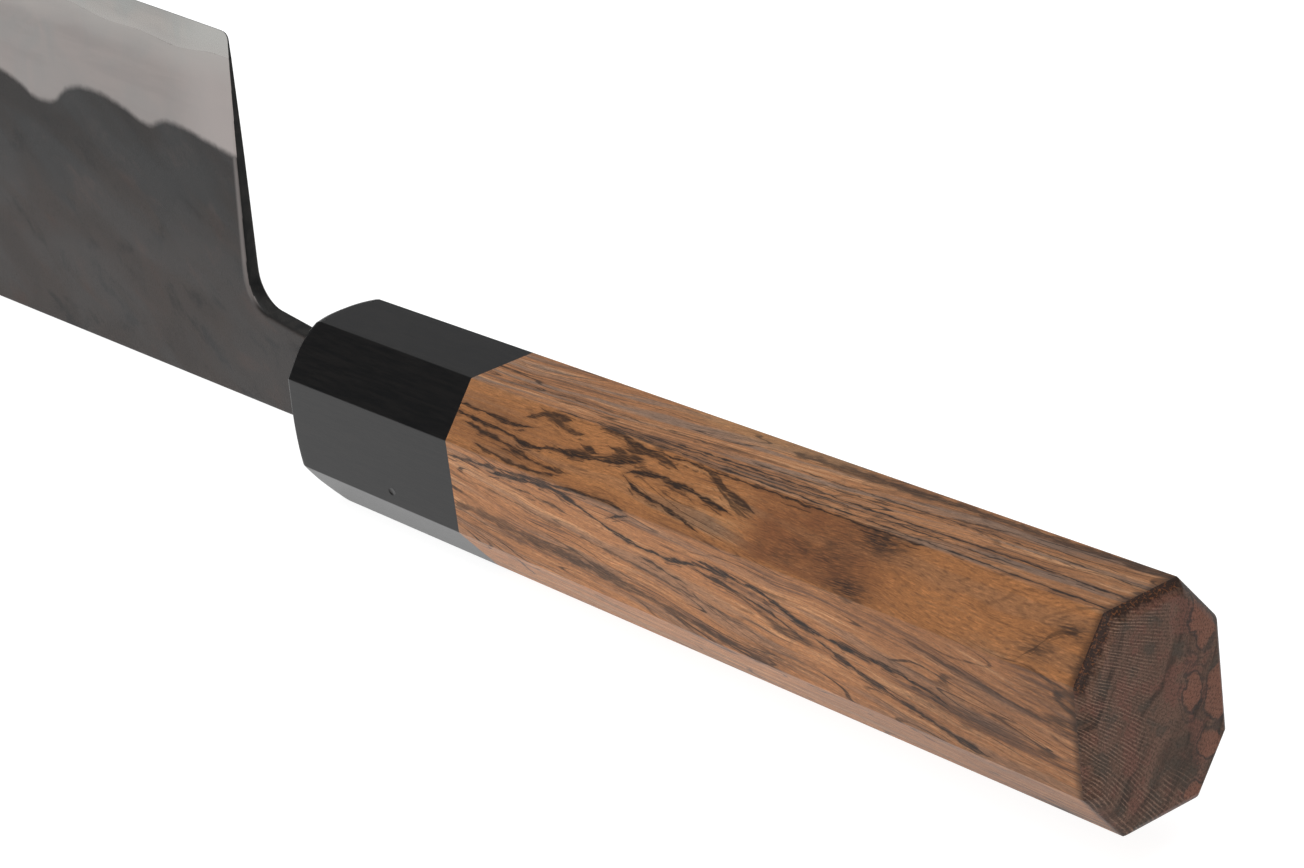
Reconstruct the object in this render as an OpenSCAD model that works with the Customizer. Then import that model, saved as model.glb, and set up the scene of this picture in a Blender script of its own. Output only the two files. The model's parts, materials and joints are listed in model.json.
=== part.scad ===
// Chef's knife with a laminated blade and an octagonal wooden handle. It stands edge up, as it
// rests on a table on the front of its ferrule and the back of its blade.
//
// The modules build it in the knife's own frame: X runs along the handle's axis towards the tip,
// from the ferrule's front, Y across the blade, and Z from the spine towards the edge.
// stood() then tips the knife forward onto the table, Z = 0, below the middle of its length.

/* [Blade] */
// Length of the blade, heel to tip
blade_l = 240; // [210:5:270]
// Height of the blade at the heel, spine to edge
heel_h = 53; // [48:0.1:56]
// Distance from the handle's axis down to the spine
spine_off = 5.6; // [5:0.1:6]
// Height of the tip over the line of the spine
tip_rise = 9.8; // [4:0.1:14]
// How much fuller the edge is than its plain curve
edge_belly = 9.6; // [4:0.1:12]
// Thickness of the spine over the heel
spine_t = 3.2; // [2.8:0.1:3.6]
// How much thinner the spine gets towards the tip
spine_taper = 2.3; // [1.8:0.1:2.3]
// Width of the round along each corner of the spine
spine_ease = 0.3; // [0.1:0.1:0.6]
// Height of the ground face over the edge, at the heel
grind_h = 16.5; // [12:0.5:22]
// Thickness of the blade where the ground face starts, at the heel
grind_t = 1.5; // [1.3:0.1:2]
// Thickness of the cutting edge
edge_t = 0.12; // [0.06:0.02:0.2]

/* [Core] */
// Thickness of the core steel at the spine
core_t = 0.9; // [0.7:0.1:1.2]
// How much thinner the core gets towards the tip
core_taper = 0.5; // [0.4:0.1:0.5]
// Width of the bare core steel along the edge, at the heel
core_show = 4; // [3:0.5:7]
// Thickness of the core where it comes out of its cladding, at the heel
core_show_t = 0.44; // [0.36:0.02:0.5]

/* [Neck and tang] */
// Distance from the ferrule's front to the heel
neck_l = 16.4; // [14:0.1:24]
// Height of the neck at the ferrule
neck_h = 12; // [11:0.1:13]
// How much the neck's upper side rises towards the blade
neck_rise = 2; // [1:0.1:3.5]
// Radius between the neck and the back of the heel
choil_r = 4.5; // [3:0.1:6]
// How far the heel reaches back over the foot of the choil
choil_lean = 3.8; // [1:0.1:5]
// Radius of the heel's corner
heel_r = 1; // [0.5:0.1:2]
// How far the tang reaches into the handle
tang_l = 90; // [70:1:95]
// How far the neck's shoulders sit inside the ferrule
neck_seat = 4; // [2:0.5:4.5]
// Height of the tang at its root
tang_root_h = 9.4; // [8:0.1:10]
// Height of the tang at its end
tang_end_h = 5; // [4:0.1:7]
// Thickness of the tang at its end
tang_end_t = 2; // [1.6:0.1:2.8]

/* [Handle] */
// Length of the handle with its ferrule
handle_l = 147.4; // [130:0.1:160]
// Width across the sides at the butt
butt_w = 21.4; // [20.2:0.1:24]
// Height from the spine side to the edge side at the butt
butt_h = 26.7; // [25.5:0.1:30]
// Width across the sides at the ferrule's front
front_w = 19.8; // [18.5:0.1:21]
// Height from the spine side to the edge side at the ferrule's front
front_h = 25.4; // [23:0.1:26.5]
// Width that each corner facet takes off the handle
corner_w = 5.2; // [4:0.1:6.5]
// Height that each corner facet takes off the handle
corner_h = 6.6; // [5:0.1:8]
// Chamfer round the butt
butt_chamfer = 1.5; // [0.5:0.1:2.5]
// Length of the ferrule
ferrule_l = 35; // [28:0.1:40]
// Chamfer round the ferrule's front
front_chamfer = 1.2; // [0.3:0.1:2]

/* [Inside the handle] */
// Thickness of the ferrule's front wall
ferrule_wall = 6.5; // [5:0.1:9]
// Diameter of the inner dowel
dowel_d = 14; // [13.2:0.1:15]
// Length of the inner dowel past the end of its hole
dowel_solid = 11.5; // [6:0.5:15]
// Glue gap round the dowel
glue_gap = 0.05; // [0.02:0.01:0.1]
// Space past the dowel's end
bore_relief = 0.5; // [0.2:0.1:0.9]
// Thickness of the bedding round the tang
bed_t = 0.5; // [0.3:0.1:0.7]
// Length of the bedding past the tang's end
bed_end = 3; // [1:0.5:5]
// Gap round the neck in the ferrule's mouth, filled by the seal
mouth_gap = 0.5; // [0.3:0.1:0.8]
// Clearance of the neck's corners in the mouth's round ends
mouth_corner = 0.15; // [0.05:0.05:0.4]
// Depth of the seal's face below the ferrule's
seal_recess = 0.5; // [0.2:0.1:1]

/* [Hidden] */
$fn = 96;

// How far cuts run past what they cut
over = 1;
// Points round each arc of the blade's outline
arc_n = 12;
// Sections of the blade from heel to tip
blade_n = 24;
// How closely the sections crowd towards the tip
crowd_share = 1.6;
// Share of the blade over which the spine runs straight
straight_share = 0.45;
// Power of the edge's curve
edge_power = 4;
// The tip's own height, as a share of the blade's height
tip_share = 0.012;
// Where the heel's round runs out into the edge
heel_end_a = 80;
half_turn = 180;
quarter_turn = 90;

heel_z = heel_h - spine_off;
tip_x = neck_l + blade_l;
tip_z = tip_rise - spine_off;
grind_share = grind_h / heel_h;
show_share = core_show / heel_h;
grind_z = heel_z - grind_h;
show_z = heel_z - core_show;
neck_slope = neck_rise / neck_l;
tang_taper = (spine_t - tang_end_t) / (tang_l - neck_seat);

// Taper of the handle's half width and half height, per unit of length towards the butt
side_slope = (butt_w - front_w) / handle_l / 2;
flat_slope = (butt_h - front_h) / handle_l / 2;

mouth_w = spine_t + 2 * mouth_gap;
mouth_end = mouth_w / 2 - sqrt(pow(mouth_w / 2, 2) - pow(spine_t / 2, 2)) + mouth_corner;
bed_h = tang_root_h + 2 * bed_t;
bed_w = spine_t + 2 * bed_t;
dowel_end = tang_l + bed_end + dowel_solid;
bore_end = dowel_end + bore_relief;

function mix(a, b, u) = a + (b - a) * u;
function neck_top(x) = neck_h - spine_off + neck_slope * x;

// Heights of the spine and the edge at a share u of the way from heel to tip
function spine_z(u) =
    tip_rise * pow(max(0, (u - straight_share) / (1 - straight_share)), 2) - spine_off;
function edge_z(u) =
    tip_z + tip_share * heel_h
    + (heel_z - tip_z - tip_share * heel_h) * (1 - pow(u, edge_power))
    + edge_belly * u * (1 - u);

// Half thickness of the blade at its spine and where the ground face starts, at a place x
function blade_u(x) = max(0, (x - neck_l) / blade_l);
function spine_y(x) =
    (spine_t - spine_taper * blade_u(x) - tang_taper * max(0, -x - neck_seat)) / 2;
function grind_y(x) = spine_y(x) * grind_t / spine_t;

// Half thickness of the core, a plane in x and z
function core_y(x, z) =
    (core_t - core_taper * blade_u(x)
    - (core_t - core_show_t) * (z + spine_off) / (show_z + spine_off)) / 2;

// Stations along the tang and blade as [place x, share u]
stations = concat(
    [[-tang_l, 0], [-neck_seat, 0]],
    [for (i = [0 : blade_n])
        let (u = 1 - pow(1 - i / blade_n, crowd_share)) [neck_l + blade_l * u, u]]
);

// One side's section of the cladding, from the core's face out to the cheek
function cladding_ring(s) =
    let (
        x = s[0], low = spine_z(s[1]), top = edge_z(s[1]), h = top - low,
        inner = core_y(x, low), outer = spine_y(x),
        ease = spine_ease * outer / (spine_t / 2),
        shoulder = top - grind_share * h, show = top - show_share * h
    )
    [[x, inner, low], [x, outer - ease, low], [x, outer, low + ease],
     [x, grind_y(x), shoulder], [x, core_y(x, show), show]];

// The core's section, from its flat side at the middle of the blade out to the cladding
function core_ring(s) =
    let (
        x = s[0], low = spine_z(s[1]), top = edge_z(s[1]), h = top - low,
        show = top - show_share * h,
        edge = edge_t / 2 * core_y(x, show) / (core_show_t / 2)
    )
    [[x, 0, low], [x, core_y(x, low), low], [x, core_y(x, show), show], [x, edge, top],
     [x, 0, top]];

function arc(c, r, a, b) =
    [for (i = [0 : arc_n]) let (t = mix(a, b, i / arc_n)) c + r * [cos(t), sin(t)]];

// Skins a row of rings, each with the same number of points, into one solid
module loft(rings) {
    n = len(rings[0]);
    last = n * (len(rings) - 1);
    sides = [
        for (j = [0 : len(rings) - 2], i = [0 : n - 1])
            let (a = j * n + i, b = j * n + (i + 1) % n)
            each [[a, a + n, b], [b, a + n, b + n]]
    ];
    polyhedron(
        [for (ring = rings) each ring],
        concat([[for (i = [0 : n - 1]) i]], sides, [[for (i = [n - 1 : -1 : 0]) last + i]])
    );
}

// The outline of tang, neck, choil and heel, open past the spine, the tip and the edge
module rear_outline() {
    lean = choil_lean / (heel_z - neck_top(neck_l));
    k = neck_l + lean * heel_z - choil_r * sqrt(1 + lean * lean);
    lift = neck_top(0) + choil_r * sqrt(1 + neck_slope * neck_slope);
    choil_z = (lift + neck_slope * k) / (1 + neck_slope * lean);
    choil_c = [k - lean * choil_z, choil_z];
    heel_c = [neck_l + heel_r * (lean + sqrt(1 + lean * lean)), heel_z - heel_r];
    heel_arc = arc(heel_c, heel_r, half_turn + atan(lean), heel_end_a);
    far = tip_x + over;
    run_out = heel_arc[arc_n] + (far - heel_arc[arc_n][0]) * [1, tan(quarter_turn - heel_end_a)];
    polygon(concat(
        [[-tang_l, -tang_end_h / 2], [-neck_seat, -tang_root_h / 2],
         [-neck_seat, -spine_off - over], [far, -spine_off - over], run_out],
        [for (i = [arc_n : -1 : 0]) heel_arc[i]],
        [for (i = [arc_n : -1 : 0])
            arc(choil_c, choil_r, atan(neck_slope) - quarter_turn, atan(lean))[i]],
        [[-neck_seat, neck_top(-neck_seat)], [-neck_seat, tang_root_h / 2],
         [-tang_l, tang_end_h / 2]]
    ));
}

module rear_cut() {
    rotate([quarter_turn, 0, 0]) linear_extrude(height = spine_t + 2 * over, center = true) rear_outline();
}

// What the blade's rear end takes up inside the handle, tang and neck together
module tang_space() {
    half = [
        for (x = [-tang_l, -neck_seat, neck_l])
            let (y = spine_y(x), ease = spine_ease * y / (spine_t / 2))
            [[x, 0, -spine_off], [x, y - ease, -spine_off], [x, y, ease - spine_off],
             [x, grind_y(x), grind_z], [x, 0, grind_z]]
    ];
    intersection() {
        union() {
            loft(half);
            mirror([0, 1, 0]) loft(half);
        }
        rear_cut();
    }
}

// Half width and half height of the handle at a distance back from the ferrule's front,
// taken in by a chamfer: an octagon's points in Y and Z
function octagon(back, inset = 0) =
    let (
        w = front_w / 2 + side_slope * back, h = front_h / 2 + flat_slope * back,
        k = corner_h * w + corner_w * (h - corner_h) - inset * norm([corner_w, corner_h]),
        a = (k - corner_w * (h - inset)) / corner_h, b = (k - corner_h * (w - inset)) / corner_w
    )
    [[w - inset, -b], [w - inset, b], [a, h - inset], [-a, h - inset],
     [-w + inset, b], [-w + inset, -b], [-a, -h + inset], [a, -h + inset]];
function handle_ring(back, inset = 0) =
    [for (p = octagon(back, inset)) [-back, p[0], p[1]]];

module along_x(from, to, r) {
    translate([from, 0, 0]) rotate([0, quarter_turn, 0]) cylinder(r = r, h = to - from);
}

// The mouth's slot, with round ends, between two places along the axis
module mouth(from, to) {
    low = -spine_off - mouth_end + mouth_w / 2;
    top = neck_top(0) + mouth_end - mouth_w / 2;
    translate([from, -mouth_w / 2, low]) cube([to - from, mouth_w, top - low]);
    for (z = [low, top]) translate([0, 0, z]) along_x(from, to, mouth_w / 2);
}

// Where the knife touches the table: the ferrule's lower front edge and the back of the blade
toe = [-front_chamfer, -front_h / 2 - flat_slope * front_chamfer];
rest_a = min([for (i = [2 : len(stations) - 1])
    atan2(spine_z(stations[i][1]) - toe[1], stations[i][0] - toe[0])]);
function stood_x(p) = p[0] * cos(rest_a) + p[1] * sin(rest_a);
function stood_z(p) = p[1] * cos(rest_a) - p[0] * sin(rest_a);
middle_x = (stood_x([tip_x, tip_z + tip_share * heel_h])
    + stood_x([-handle_l, butt_chamfer - butt_h / 2])) / 2;

module stood() {
    translate([-middle_x, 0, -stood_z(toe)]) rotate([0, rest_a, 0]) children();
}

module core_steel() {
    rings = [for (s = stations) core_ring(s)];
    color("#b4b0ab") stood() intersection() {
        union() {
            loft(rings);
            mirror([0, 1, 0]) loft(rings);
        }
        rear_cut();
    }
}

module cladding() {
    intersection() {
        loft([for (s = stations) cladding_ring(s)]);
        rear_cut();
    }
}

module cladding_right() {
    color("#484644") stood() cladding();
}

module cladding_left() {
    color("#484644") stood() mirror([0, 1, 0]) cladding();
}

module ferrule() {
    color("#1b1b1d") stood() difference() {
        loft([handle_ring(ferrule_l), handle_ring(front_chamfer), handle_ring(0, front_chamfer)]);
        along_x(-ferrule_l - over, -ferrule_wall, dowel_d / 2 + glue_gap);
        mouth(-ferrule_wall - over, over);
    }
}

module handle_body() {
    color("#a5714a") stood() difference() {
        loft([handle_ring(handle_l, butt_chamfer), handle_ring(handle_l - butt_chamfer),
              handle_ring(ferrule_l)]);
        along_x(-bore_end, over - ferrule_l, dowel_d / 2 + glue_gap);
    }
}

module dowel() {
    color("#d6b98c") stood() difference() {
        along_x(-dowel_end, -ferrule_wall, dowel_d / 2);
        bed_block(over);
    }
}

// The hole for the tang in the dowel, run out of the dowel's front by past
module bed_block(past) {
    translate([-tang_l - bed_end, -bed_w / 2, -bed_h / 2])
        cube([tang_l + bed_end - ferrule_wall + past, bed_w, bed_h]);
}

module tang_bedding() {
    color("#d8cda4") stood() difference() {
        bed_block(0);
        tang_space();
    }
}

module mouth_seal() {
    color("#2a2320") stood() difference() {
        mouth(-ferrule_wall, -seal_recess);
        tang_space();
    }
}

core_steel();
cladding_right();
cladding_left();
ferrule();
handle_body();
dowel();
tang_bedding();
mouth_seal();
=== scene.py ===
"""Looks of a laminated chef's knife with a horn ferrule and an octagonal wooden handle.

The knife's own frame has X along the handle's axis towards the tip, from the ferrule's front,
Y across the blade, and Z from the spine towards the edge. The knife stands edge up on a table,
tipped a little forward, and stand() takes points from the knife's frame to that place.
"""

import json
import math
from functools import reduce

import bmesh
import bpy
import numpy as np
from bpy.props import FloatProperty, FloatVectorProperty, PointerProperty
from mathutils import Matrix, Vector


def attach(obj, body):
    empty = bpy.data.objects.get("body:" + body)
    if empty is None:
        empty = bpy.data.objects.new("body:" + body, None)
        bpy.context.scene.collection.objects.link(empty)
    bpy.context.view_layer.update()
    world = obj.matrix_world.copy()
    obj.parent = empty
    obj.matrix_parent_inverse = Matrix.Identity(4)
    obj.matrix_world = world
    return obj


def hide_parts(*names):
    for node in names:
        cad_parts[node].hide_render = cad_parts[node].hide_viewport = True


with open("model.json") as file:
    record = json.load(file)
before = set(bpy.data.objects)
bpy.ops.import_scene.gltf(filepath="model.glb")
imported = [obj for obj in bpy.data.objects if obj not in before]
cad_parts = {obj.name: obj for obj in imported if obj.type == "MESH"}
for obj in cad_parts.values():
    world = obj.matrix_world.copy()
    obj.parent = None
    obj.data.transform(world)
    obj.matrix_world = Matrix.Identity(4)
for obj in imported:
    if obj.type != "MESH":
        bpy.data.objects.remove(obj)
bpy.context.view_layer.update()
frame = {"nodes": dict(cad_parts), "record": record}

bl_info = {
    "name": "Chef's Knife",
    "version": (1, 0, 0),
    "blender": (4, 5, 0),
    "location": "View3D > Sidebar > Knife",
    "description": "Builds the blade, the ferrule and the handle of a laminated chef's knife",
    "category": "Object",
}

MM = 0.001


def number(name, description, default, **limits):
    return FloatProperty(name=name, description=description, default=default, **limits)


def length(name, description, default):
    return number(name, description, default * MM, min=0, precision=5, unit="LENGTH",
                  subtype="DISTANCE")


def colour(name, description, default):
    return FloatVectorProperty(name=name, description=description, default=default,
                               size=3, min=0, max=1, subtype="COLOR")


def spot(name, description, default):
    return FloatVectorProperty(name=name, description=description, default=default,
                               precision=5, subtype="TRANSLATION", unit="LENGTH")


class BladeSettings(bpy.types.PropertyGroup):
    blade_l: length("Blade length", "Heel to tip", 240)
    heel_h: length("Heel height", "Spine to edge at the heel", 53)
    spine_off: length("Spine offset", "Handle's axis down to the spine", 5.6)
    tip_rise: length("Tip rise", "Height of the tip over the line of the spine", 9.8)
    edge_belly: length("Belly", "How much fuller the edge is than its plain curve", 9.6)
    spine_t: length("Spine thickness", "Thickness of the spine over the heel", 3.2)
    spine_taper: length("Spine taper", "How much thinner the spine gets towards the tip", 2.3)
    spine_round: length("Spine round", "Radius along each corner of the spine", 0.35)
    grind_h: length("Ground face", "Height of the ground face over the edge", 16.5)
    grind_t: length("Shoulder thickness", "Thickness where the ground face starts", 1.5)
    edge_t: length("Edge thickness", "Thickness of the cutting edge", 0.12)
    edge_in: length("Edge inset", "Keeps the curved edge inside the solid's outline", 0.01)
    core_t: length("Core thickness", "Thickness of the core steel at the spine", 0.9)
    core_taper: length("Core taper", "How much thinner the core gets towards the tip", 0.5)
    core_show: length("Bare core", "Width of the bare core steel along the edge", 4)
    core_show_t: length("Core at the lamination", "Thickness where the core comes out", 0.44)
    neck_l: length("Neck length", "Ferrule's front to the heel", 16.4)
    neck_h: length("Neck height", "Height of the neck at the ferrule", 12)
    neck_rise: length("Neck rise", "Rise of the neck's upper side towards the blade", 2)
    choil_r: length("Choil radius", "Radius between the neck and the back of the heel", 4.5)
    choil_lean: length("Choil lean", "How far the heel reaches back over the choil", 3.8)
    choil_round: length("Choil round", "Radius along the corners of neck and choil", 0.75)
    heel_r: length("Heel radius", "Radius of the heel's corner", 1)
    tang_l: length("Tang length", "How far the tang reaches into the handle", 90)
    neck_seat: length("Neck seat", "How far the neck's shoulders sit in the ferrule", 4)
    tang_root_h: length("Tang root", "Height of the tang at its root", 9.4)
    tang_end_h: length("Tang end", "Height of the tang at its end", 5)
    tang_end_t: length("Tang end thickness", "Thickness of the tang at its end", 2)
    scale_colour: colour("Forge scale", "Dark scale on the cheeks", (0.007, 0.007, 0.0075))
    cloud_colour: colour("Scale clouds", "Brown clouds in the scale", (0.036, 0.028, 0.0245))
    steel_colour: colour("Ground steel", "Ground band of the cladding", (0.262, 0.243, 0.232))
    core_colour: colour("Core steel", "Bare core steel at the edge", (0.315, 0.308, 0.292))


class HandleSettings(bpy.types.PropertyGroup):
    handle_l: length("Handle length", "Ferrule's front to the butt", 147.4)
    butt_w: length("Butt width", "Width across the sides at the butt", 21.4)
    butt_h: length("Butt height", "Spine side to edge side at the butt", 26.7)
    front_w: length("Front width", "Width across the sides at the ferrule's front", 19.8)
    front_h: length("Front height", "Spine side to edge side at the ferrule's front", 25.4)
    corner_w: length("Corner width", "Width that a corner facet takes off", 5.2)
    corner_h: length("Corner height", "Height that a corner facet takes off", 6.6)
    butt_chamfer: length("Butt chamfer", "Chamfer round the butt", 1.5)
    ferrule_l: length("Ferrule length", "Length of the horn ferrule", 35)
    front_round: length("Front round", "Radius round the ferrule's front", 0.8)
    ridge_round: length("Ridge round", "Radius along the ridges of the handle", 0.3)
    ferrule_wall: length("Front wall", "Thickness of the ferrule's front wall", 6.5)
    bore_d: length("Bore", "Diameter of the bore for the dowel", 14.1)
    bore_end: length("Bore end", "How far back the bore reaches", 105)
    mouth_w: length("Mouth width", "Width of the mouth for the neck", 4.2)
    mouth_h: length("Mouth height", "Height of the mouth for the neck", 13.8)
    horn_colour: colour("Horn", "Black horn of the ferrule", (0.003, 0.003, 0.0032))
    light_wood: colour("Light wood", "Light growth of the body", (0.32, 0.165, 0.085))
    mid_wood: colour("Brown wood", "Main brown of the body", (0.232, 0.103, 0.046))
    dark_wood: colour("Dark wood", "Dark growth of the body", (0.105, 0.052, 0.031))
    grey_wood: colour("Grey wood", "Grey and lavender streaks of the body", (0.135, 0.092, 0.072))
    red_wood: colour("Red wood", "Red brown patch of the body", (0.158, 0.062, 0.027))
    ink_wood: colour("Ink lines", "Near black lines in the figure", (0.018, 0.012, 0.009))


class StageSettings(bpy.types.PropertyGroup):
    floor_size: number("Floor", "Side of the floor", 8, min=1, unit="LENGTH",
                       subtype="DISTANCE")
    floor_colour: colour("Floor colour", "Plain pale floor", (0.22, 0.22, 0.22))
    floor_glow: number("Floor glow", "Light from inside the floor", 0.93, min=0)
    surround: number("Surroundings", "Brightness of the studio's walls", 0.14, min=0)
    key_power: number("Key light", "Power of the soft key light", 20, min=0, unit="POWER")
    top_power: number("Top light", "Power of the soft light overhead", 50, min=0, unit="POWER")
    back_power: number("Back light", "Power of the faint light behind", 1.4, min=0,
                       unit="POWER")
    lens: number("Lens", "Focal length in millimetres", 120.56, min=10)
    camera_place: spot("Camera", "Camera in the knife's frame", (-0.44950, 0.28656, 0.21402))
    camera_aim: spot("Aim", "Point that the camera looks at", (-0.06402, 0, 0.01091))
    camera_roll: number("Roll", "Turn of the camera about its view", math.radians(-7.373),
                        subtype="ANGLE")


# Where the knife stands, from the butt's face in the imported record
butt = next(m for m in frame["record"]["mounts"] if m["name"] == "butt_face")
rest_angle = math.atan2(butt["axis"][2], -butt["axis"][0])


def standing():
    s = bpy.context.scene.knife_handle
    axis = Vector((math.cos(rest_angle), 0, -math.sin(rest_angle)))
    origin = Vector(butt["pos_m"]) + s.handle_l * axis
    return Matrix.Translation(origin) @ Matrix.Rotation(rest_angle, 4, "Y")


def stand(points):
    m = np.array(standing())
    return np.asarray(points) @ m[:3, :3].T + m[:3, 3]


# Meshes


def new_object(name, data):
    obj = bpy.data.objects.new(name, data)
    bpy.context.scene.collection.objects.link(obj)
    return obj


def mesh_object(name, points, faces):
    mesh = bpy.data.meshes.new(name)
    mesh.from_pydata(stand(points).tolist(), [], faces)
    mesh.validate()
    mesh.update()
    return new_object(name, mesh)


def pairs(ring):
    """Neighbours round a closed ring."""
    return list(zip(ring, ring[1:] + ring[:1]))


def add_values(obj, name, values):
    layer = obj.data.attributes.new(name, "FLOAT", "POINT")
    layer.data.foreach_set("value", np.asarray(values, dtype=np.float32))


def grid_faces(rows, cols, first, flip=False):
    faces = []
    for j in range(rows - 1):
        for i in range(cols - 1):
            a = first + j * cols + i
            quad = (a, a + 1, a + 1 + cols, a + cols)
            faces.append(quad[::-1] if flip else quad)
    return faces


def smooth(obj, angle):
    obj.data.shade_smooth()
    obj.data.set_sharp_from_angle(angle=math.radians(angle))
    weights = obj.modifiers.new("even_normals", "WEIGHTED_NORMAL")
    weights.keep_sharp = True


def finish_piece(obj, node):
    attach(obj, "root")
    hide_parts(node)


# The blade's form, in its own frame

# The share of the blade's length from which the spine rises, the tip's height as a share of
# the heel's, and the waves of the lamination's line, each with its height, length and phase
RISE_FROM = 0.45
TIP_SHARE = 0.012
WAVES = [(0.35 * MM, 7.3 * MM, 0), (0.25 * MM, 2.9 * MM, 1)]

# The blade's mesh. The neck's columns stand upright from NECK_FROM to NECK_TO. Those of the
# choil and the heel's back lean: their feet start FOOT_AFTER past the heel and spread over
# FOOT_SPREAD, and the columns are upright again UPRIGHT_AFTER further on. The heel's round
# ends at HEEL_END, with a gap of FIRST_COLUMN after it. LEAST_GAP is the least one between
# the columns' feet, and the slack with which the core's rows count as bare. EASE is how far
# past the neck's seat, or in front of the butt's chamfer, a limit is set.
NECK_FROM, NECK_TO = -3 * MM, 10 * MM
FOOT_AFTER, FOOT_SPREAD, UPRIGHT_AFTER = 1.5 * MM, 11 * MM, 75 * MM
FIRST_COLUMN, LEAST_GAP = 0.15 * MM, 0.02 * MM
NECK_STEPS, BEND_STEPS, BACK_STEPS, HEEL_STEPS, EDGE_STEPS = 14, 25, 40, 16, 260
HEEL_END = math.radians(82)
EASE = 0.05 * MM

# The power by which the columns crowd towards the heel, and the share of a column that the
# rows close to either end may take
CROWD = 1.15
END_SHARE = 0.3

# Rows of the mesh: EDGE_ROWS at fixed distances from a rounded edge, with CLADDING_ROWS evenly
# between them, and HIDDEN_ROWS and BAND_ROWS of the core under its cladding and bare.
# BARE_SHARE is the least and the most of a column that is bare.
EDGE_ROWS = np.array([0, 0.05, 0.12, 0.22, 0.38, 0.6]) * MM
CLADDING_ROWS, HIDDEN_ROWS, BAND_ROWS = 44, 26, 10
BARE_SHARE = (0.01, 0.12)

# The share of the thickness that a round of the spine or of the choil may take, and how far
# the rubbed rim reaches, as a share of the choil's round
SPINE_SHARE, CHOIL_SHARE = 0.6, 0.75
RIM_REACH = 1.6

# The least thickness of each steel, how far past the heel the distance to the rounded edges
# matters, the distance under which points are one, and the angles from which edges are sharp
LEAST_CLADDING, LEAST_CORE = 0.004 * MM, 0.03 * MM
ROUND_REACH = 15.6 * MM
SAME_PLACE = 0.0001 * MM
SHARP_CLADDING, SHARP_CORE, SHARP_HORN, SHARP_WOOD = 50, 40, 35, 30


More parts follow.
